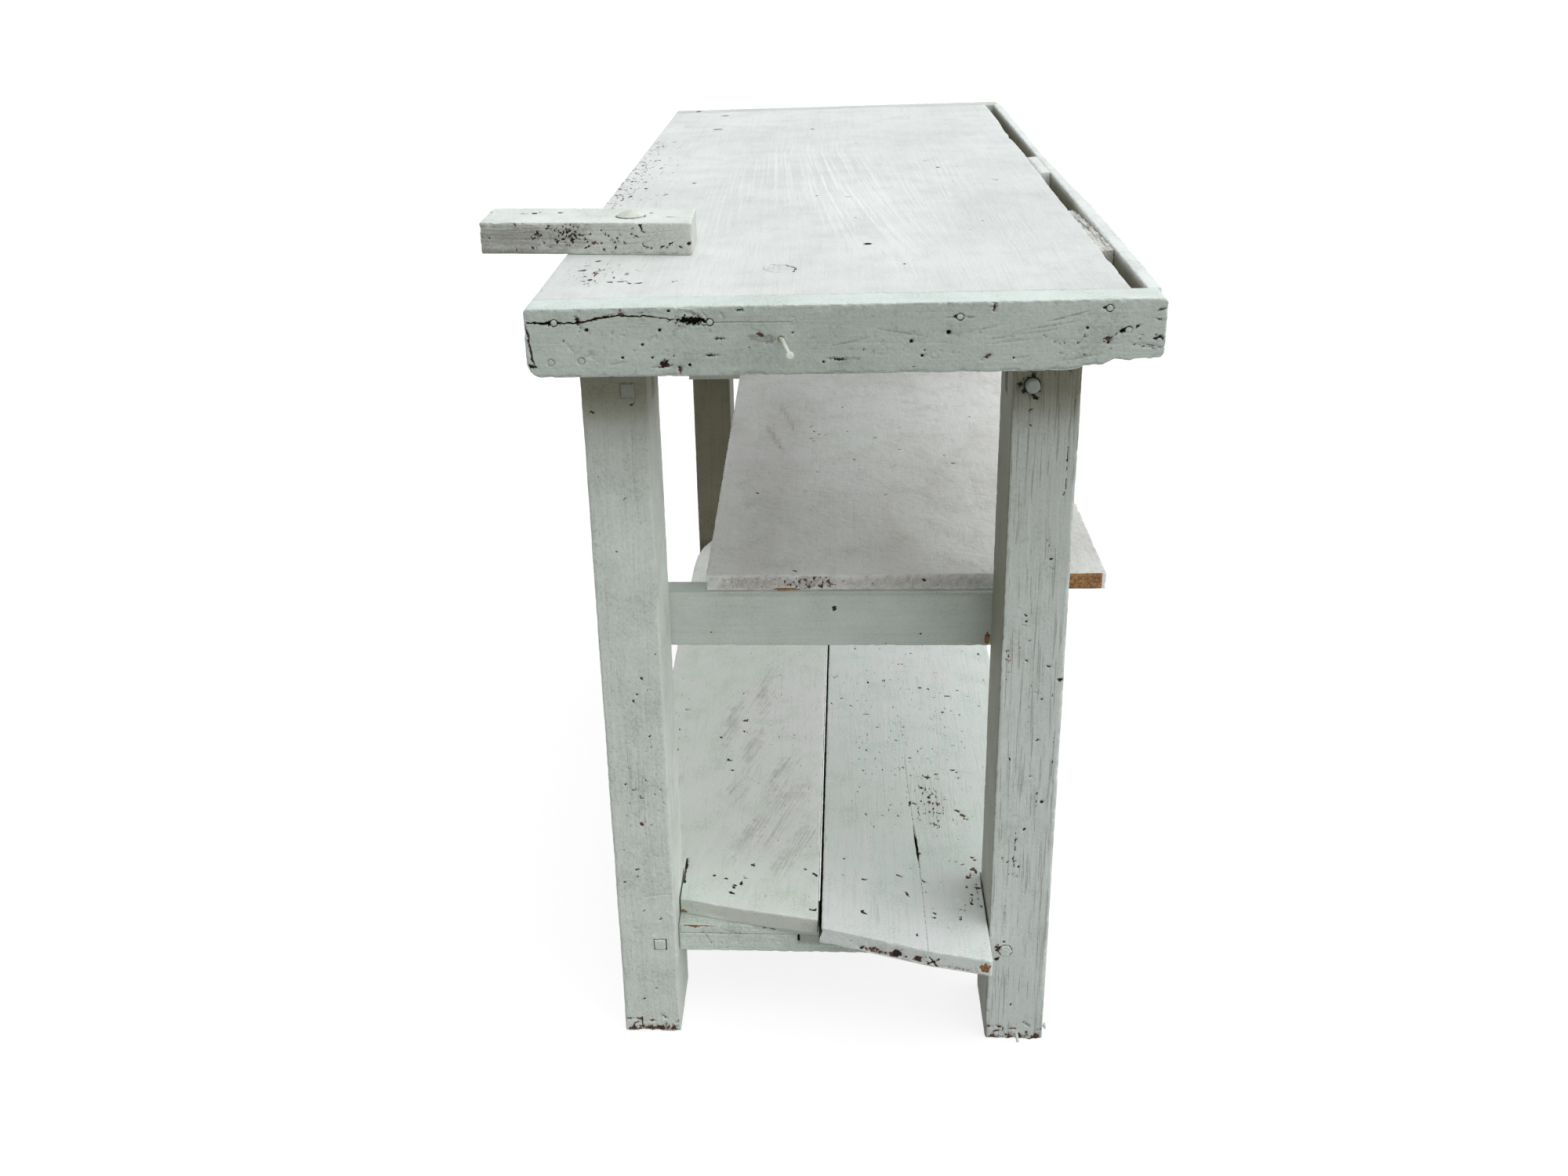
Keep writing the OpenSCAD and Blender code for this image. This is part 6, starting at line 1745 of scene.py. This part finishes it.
# Turned and small pieces
def turned(profile, centre, segments=40, wobble=0.0, seed=1, axis="z"):
    """Points and faces of a turned form; profile is (radius, height), from the bottom up."""
    phase = np.random.default_rng(seed).uniform(0, 6.28, 3)
    angles = 2 * math.pi * np.arange(segments) / segments
    wave = np.sin(2 * angles + phase[0]) + 0.6 * np.sin(3 * angles + phase[1])
    wave = 1 + wobble * 0.5 * (wave + 0.4 * np.sin(5 * angles + phase[2]))
    rings = [
        np.stack([r * wave * np.cos(angles), r * wave * np.sin(angles), np.full(segments, h)], -1)
        for r, h in profile
    ]
    verts = np.concatenate(rings)
    faces = ring_faces(len(profile), segments)
    if axis == "x":
        verts = verts[:, [2, 0, 1]]
    elif axis == "-x":
        verts = verts[:, [2, 0, 1]] * [-1, 1, 1]
        faces = [face[::-1] for face in faces]
    return verts + np.array(centre), faces


def ring_faces(rows, segments):
    """Faces of a closed form made of rings of points, from its first ring to its last."""
    faces = []
    for i in range(rows - 1):
        for k in range(segments):
            after = (k + 1) % segments
            faces.append((i * segments + k, i * segments + after,
                          (i + 1) * segments + after, (i + 1) * segments + k))
    faces.append(tuple(range(segments))[::-1])
    faces.append(tuple((rows - 1) * segments + k for k in range(segments)))
    return faces


def solid(name, node, parts, material, body="bench", smooth=True):
    """One object of several closed parts, which replaces its CAD node."""
    verts, faces, base = [], [], 0
    for points, sides in parts:
        verts.append(points)
        faces += [tuple(i + base for i in side) for side in sides]
        base += len(points)
    thing = make_object(name, (np.concatenate(verts) + SHIFT) / 1000.0, faces, None, smooth)
    thing.data.materials.append(material)
    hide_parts(node)
    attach(thing, body)


def small_block(low, high, r, seed):
    """A hand-cut peg with soft, uneven edges."""
    low, high = np.array(low, float), np.array(high, float)
    xs, ys, zs = (lines(low[a], high[a], 3.0, r) for a in range(3))
    lattice, side, quads = box_lattice(xs, ys, zs)
    radius = r * (0.6 + 0.8 * fractal(lattice / 6.0, seed, 2))[:, None]
    points, normal = rounded(lattice, low, high, radius)
    points = points - normal * (fractal(lattice / 4.0, seed + 2, 2) * 0.12)[:, None]
    return points, [tuple(quad) for quad in quads.tolist()]


PEG_DEEP = 70.0
# the end faces of the legs, and the way each looks
PEG_ENDS = ((NEAR_X, 1), (FAR_END, -1))


def square_pegs(y, z, wide, proud):
    """A pair of square pegs, one at each end of the bench, as are the round and the hex ones."""
    pegs = []
    for x, way in PEG_ENDS:
        inner, outer = sorted((x + way * proud, x - way * PEG_DEEP))
        low = (inner, y - wide / 2, z - wide / 2)
        high = (outer, y + wide / 2, z + wide / 2)
        pegs.append(small_block(low, high, 1.5, 5 + int(abs(x)) % 7))
    return pegs


def turned_pegs(profile, y, z, segments, wobble):
    """The same turned peg at both ends."""
    return [
        turned(profile, (x, y, z), segments, wobble, 3, "x" if way > 0 else "-x")
        for x, way in PEG_ENDS
    ]


def round_pegs(y, z, wide, proud):
    r = wide / 2
    profile = [
        (r, -PEG_DEEP), (r, 0), (r, proud * 0.45), (r * 0.97, proud * 0.75),
        (r * 0.9, proud * 0.93), (r * 0.78, proud), (r * 0.4, proud), (0.3, proud * 0.985),
    ]
    return turned_pegs(profile, y, z, 40, 0.02)


def hex_pegs(y, z, flats, proud):
    r = flats / 2 / math.cos(math.radians(30))
    profile = [
        (r, -PEG_DEEP), (r, 0.2), (r * 0.97, 0.7), (r * 0.88, 1.1), (r * 0.5, proud), (0.3, proud),
    ]
    return turned_pegs(profile, y, z, 6, 0.0)


# how wide the upper and the lower pegs are, and how far each kind stands proud
UPPER_PEG, LOWER_PEG = 13.0, 12.0
SUNK_PROUD, ROUND_PROUD, LOWER_PROUD = 0.6, 6.0, 1.2
upper_square = square_pegs(-PEG_Y, PEG_Z, UPPER_PEG, SUNK_PROUD)
lower_square = square_pegs(-PEG_Y, LOW_PEG_Z, LOWER_PEG, LOWER_PROUD)
upper_round = round_pegs(PEG_Y, PEG_Z, UPPER_PEG, ROUND_PROUD)
lower_hex = hex_pegs(PEG_Y, LOW_PEG_Z, LOWER_PEG, LOWER_PROUD)
solid("pegs_square_up", "pegs_upper_square", upper_square, PAINT_PEG_SHADED)
solid("pegs_square_low", "pegs_lower_square", lower_square, PAINT_PEG)
solid("pegs_round_up", "pegs_upper_round", upper_round, PAINT_PEG_ROUND_SHADED)
solid("pegs_hex_low", "pegs_lower_hex", lower_hex, PAINT_PEG, smooth=False)

# The bolt: its shank, and a domed head, whose last ring leaves a small flat at the top
BOLT_R, BOLT_TIP_R, BOLT_LOW, BOLT_FULL = 6.0, 5.4, 761.5, 762.2
DOME_R, DOME_FOOT_R, DOME_RISE = 14.0, 13.2, 5.0
DOME_RINGS, DOME_STEPS = 14, 13.2
bolt_profile = [(BOLT_TIP_R, BOLT_LOW), (BOLT_R, BOLT_FULL), (BOLT_R, BAR_HIGH - 0.01)]
shank = turned(bolt_profile, (*BOLT_AT, 0))
sphere = (DOME_R ** 2 + DOME_RISE ** 2) / (2 * DOME_RISE)
dome_profile = [(DOME_FOOT_R, BAR_HIGH - 0.05)]
for k in range(DOME_RINGS):
    radius = DOME_R * (1 - k / DOME_STEPS)
    height = BAR_HIGH + DOME_RISE - sphere + math.sqrt(sphere ** 2 - radius ** 2)
    dome_profile.append((radius, height))
dome = turned(dome_profile, (*BOLT_AT, 0), 56, 0.006, 5)
solid("bolt", "carriage_bolt", [shank, dome], BOLT_PAINTED, body="swing")


# The bent nail
def tube(path, radii, segments=20):
    """A closed round bar along a path, with a radius at each of its points."""
    path = np.array(path, float)
    tangent = np.gradient(path, axis=0)
    tangent /= np.linalg.norm(tangent, axis=1, keepdims=True)
    angles = 2 * math.pi * np.arange(segments) / segments
    u = np.cross(tangent[0], (0.3, 1.0, 0.1))
    rings = []
    for point, way, r in zip(path, tangent, radii):
        u = u - way * np.dot(u, way)
        u /= np.linalg.norm(u)
        v = np.cross(way, u)
        rings.append(point + r * (np.cos(angles)[:, None] * u + np.sin(angles)[:, None] * v))
    return np.concatenate(rings), ring_faces(len(path), segments)


def smooth_path(points, n):
    """A smooth path through points, with n steps from each to the next."""
    points = np.array(points, float)
    wide = np.vstack([2 * points[0] - points[1], points, 2 * points[-1] - points[-2]])
    path = []
    for a, b, c, d in zip(wide[:-3], wide[1:-2], wide[2:-1], wide[3:]):
        for t in np.linspace(0, 1, n, endpoint=False):
            cubic = (3 * b - a - 3 * c + d) * t ** 3
            path.append(0.5 * (2 * b + (c - a) * t + (2 * a - 5 * b + 4 * c - d) * t * t + cubic))
    path.append(points[-1])
    return np.array(path)


NAIL_COURSE = (
    (-29, -40, 811), (-2, -38, 811), (3, -36.5, 811.2), (9, -34.5, 808.5), (14, -32, 804.8),
    (17, -30, 801.4),
)
nail_path = smooth_path(NAIL_COURSE, 9)
# the shank is a little uneven; nail_way is the way its head looks
BENT_R, BENT_UNEVEN = 1.75, 0.12
nail_radii = [BENT_R + BENT_UNEVEN * math.sin(i * 1.7) for i in range(len(nail_path))]
nail_shank = tube(nail_path, nail_radii)
nail_way = np.array([0.86, 0.16, 0.49])
head_steps = (-1.2, -0.5, 0.15, 0.35, 0.9, 1.25, 1.45)
head_radii = (1.55, 2.0, 3.2, 3.45, 3.4, 2.9, 1.2)
nail_head = tube([nail_path[-1] + nail_way * step for step in head_steps], head_radii, 28)
solid("nail_bent", "bent_nail", [nail_shank, nail_head], NAIL_PAINTED)


# The nails of the caps: small heads under the paint, a little below the face
CAP_NAIL_DEEP, CAP_NAIL_R, CAP_NAIL_HEAD_R = 69.0, 1.5, 2.6


def cap_nails(name, node, x, way, material):
    """The nails of the cap whose outer face is at x and looks along way."""
    axis = "x" if way > 0 else "-x"
    nails = []
    for k, (y, z) in enumerate(CAP_NAIL_PLACES):
        profile = [
            (1.0, -CAP_NAIL_DEEP), (CAP_NAIL_R, -CAP_NAIL_DEEP + 3), (CAP_NAIL_R, -2.0),
            (2.5, -1.7), (CAP_NAIL_HEAD_R, -0.9), (2.2, -0.55), (1.2, -0.42), (0.3, -0.4),
        ]
        nails.append(turned(profile, (x, y, z), 24, 0.05, 40 + k, axis))
    solid(name, node, nails, material)


cap_nails("nails_near", "cap_nails_near", 0.0, 1, PAINT_NAIL_SHADED)
cap_nails("nails_far", "cap_nails_far", FAR_X, -1, PAINT_CAP_FAR)

# CAD nodes that are shown as they are
for node, material in (
    ("rail_nails", PAINT_RAIL),
    ("bearer_nails", PAINT_CROSS), ("plank_nails", PAINT_PLANK_LEFT_LIT), ("foot_nails", PAINT_PEG),
    ("slab_nails", NAIL_RUSTY), ("slab_plugs", PLUG_WOOD), ("bolt_washer", IRON_OLD),
    ("bolt_nut", IRON_OLD),
):
    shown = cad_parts[node]
    shown.data.materials.clear()
    shown.data.materials.append(material)


# The floor, the world and the camera
WHITE = (1, 1, 1, 1)
# the floor as the bench sees it, and as the camera sees it: its lit part and its glow
FLOOR_BOUNCE, FLOOR_LIT, FLOOR_GLOW = (0.28, 0.28, 0.275, 1), (0.3, 0.3, 0.3, 1), 0.82


def floor_material():
    """Pale floor; its glow and its lit part add up to white, and the shadow stays on it."""
    tree = Tree(bpy.data.materials.new("floor_white"))
    bounce = tree.plain("ShaderNodeBsdfDiffuse", FLOOR_BOUNCE)
    white = tree.add("ShaderNodeAddShader")
    tree.put(white.inputs[0], tree.plain("ShaderNodeBsdfDiffuse", FLOOR_LIT))
    tree.put(white.inputs[1], tree.plain("ShaderNodeEmission", WHITE, FLOOR_GLOW))
    return tree.end_by_ray(bounce, white.outputs[0], "ShaderNodeOutputMaterial")


# half the floor's width, and its height, in metres
FLOOR_HALF, FLOOR_Z = 60.0, -0.0005
floor_points = [
    (x * FLOOR_HALF, y * FLOOR_HALF, 0) for x, y in ((-1, -1), (1, -1), (1, 1), (-1, 1))
]
floor = make_object("floor", floor_points, [(0, 1, 2, 3)], smooth=False)
floor.location.z = FLOOR_Z
floor.data.materials.append(floor_material())

# the light's colour, and how bright the studio is all round, from above, straight overhead, and
# towards three of its sides
STUDIO_LIGHT = (0.99, 1.0, 1.0, 1)
ALL_ROUND, FROM_ABOVE, OVERHEAD = 0.06, 0.50, 0.78
FROM_BACK, FROM_NEAR, FROM_FRONT = 1.70, 0.30, 0.12


def studio_world():
    """Soft light from large directions; it is seen as white where it is seen directly."""
    tree = Tree(bpy.data.worlds.new("studio"))
    parts = tree.add("ShaderNodeSeparateXYZ")
    tree.put(parts.inputs[0], tree.add("ShaderNodeTexCoord").outputs["Generated"])
    x, y, z = parts.outputs

    def lobe(way, strength):
        return tree.math("MULTIPLY", tree.math("MAXIMUM", way, 0.0), strength)

    up = tree.math("MAXIMUM", z, 0.0)
    high = tree.math("MULTIPLY", up, up)
    zenith = tree.math("MULTIPLY", tree.math("MULTIPLY", high, high), OVERHEAD)
    level = tree.math("ADD", tree.math("MULTIPLY", high, FROM_ABOVE), zenith)
    level = tree.math("ADD", level, lobe(y, FROM_BACK))
    front = lobe(tree.math("MULTIPLY", y, -1.0), FROM_FRONT)
    level = tree.math("ADD", level, tree.math("ADD", lobe(x, FROM_NEAR), front))
    level = tree.math("ADD", level, ALL_ROUND)
    light = tree.plain("ShaderNodeBackground", STUDIO_LIGHT, level)
    seen = tree.plain("ShaderNodeBackground", WHITE, 1.0)
    return tree.end_by_ray(light, seen, "ShaderNodeOutputWorld")


bpy.context.scene.world = studio_world()

# the camera, in bench millimetres and degrees
CAMERA_AT = (1213.4, 5.7, 1133.5)
CAMERA_YAW, CAMERA_PITCH, CAMERA_ROLL = 5.3, 22.7, -2.3
PHOTO_W, PHOTO_H = 2000, 1500
FOCAL_PX = 1925.34
CENTRE_X, CENTRE_Y = 900.0, 700.5

yaw, pitch, roll = (math.radians(v) for v in (CAMERA_YAW, CAMERA_PITCH, CAMERA_ROLL))
forward = Vector((
    -math.cos(yaw) * math.cos(pitch), -math.sin(yaw) * math.cos(pitch), -math.sin(pitch),
))
level_right = Vector((-math.sin(yaw), math.cos(yaw), 0))
level_up = level_right.cross(forward)
right = level_right * math.cos(roll) + level_up * math.sin(roll)
up = level_up * math.cos(roll) - level_right * math.sin(roll)
camera_data = bpy.data.cameras.new("camera")
camera = bpy.data.objects.new("camera", camera_data)
bpy.context.scene.collection.objects.link(camera)
camera_place = Matrix((right, up, -forward)).transposed().to_4x4()
camera_place.translation = Vector((np.array(CAMERA_AT) + SHIFT) / 1000.0)
camera.matrix_world = camera_place
camera_data.sensor_fit = "HORIZONTAL"
camera_data.sensor_width = 36.0
camera_data.lens = FOCAL_PX / PHOTO_W * 36.0
camera_data.shift_x = (PHOTO_W / 2 - CENTRE_X) / PHOTO_W
camera_data.shift_y = (CENTRE_Y - PHOTO_H / 2) / PHOTO_W
camera_data.clip_end = 200
bpy.context.scene.camera = camera
bpy.context.scene.view_settings.view_transform = "Standard"
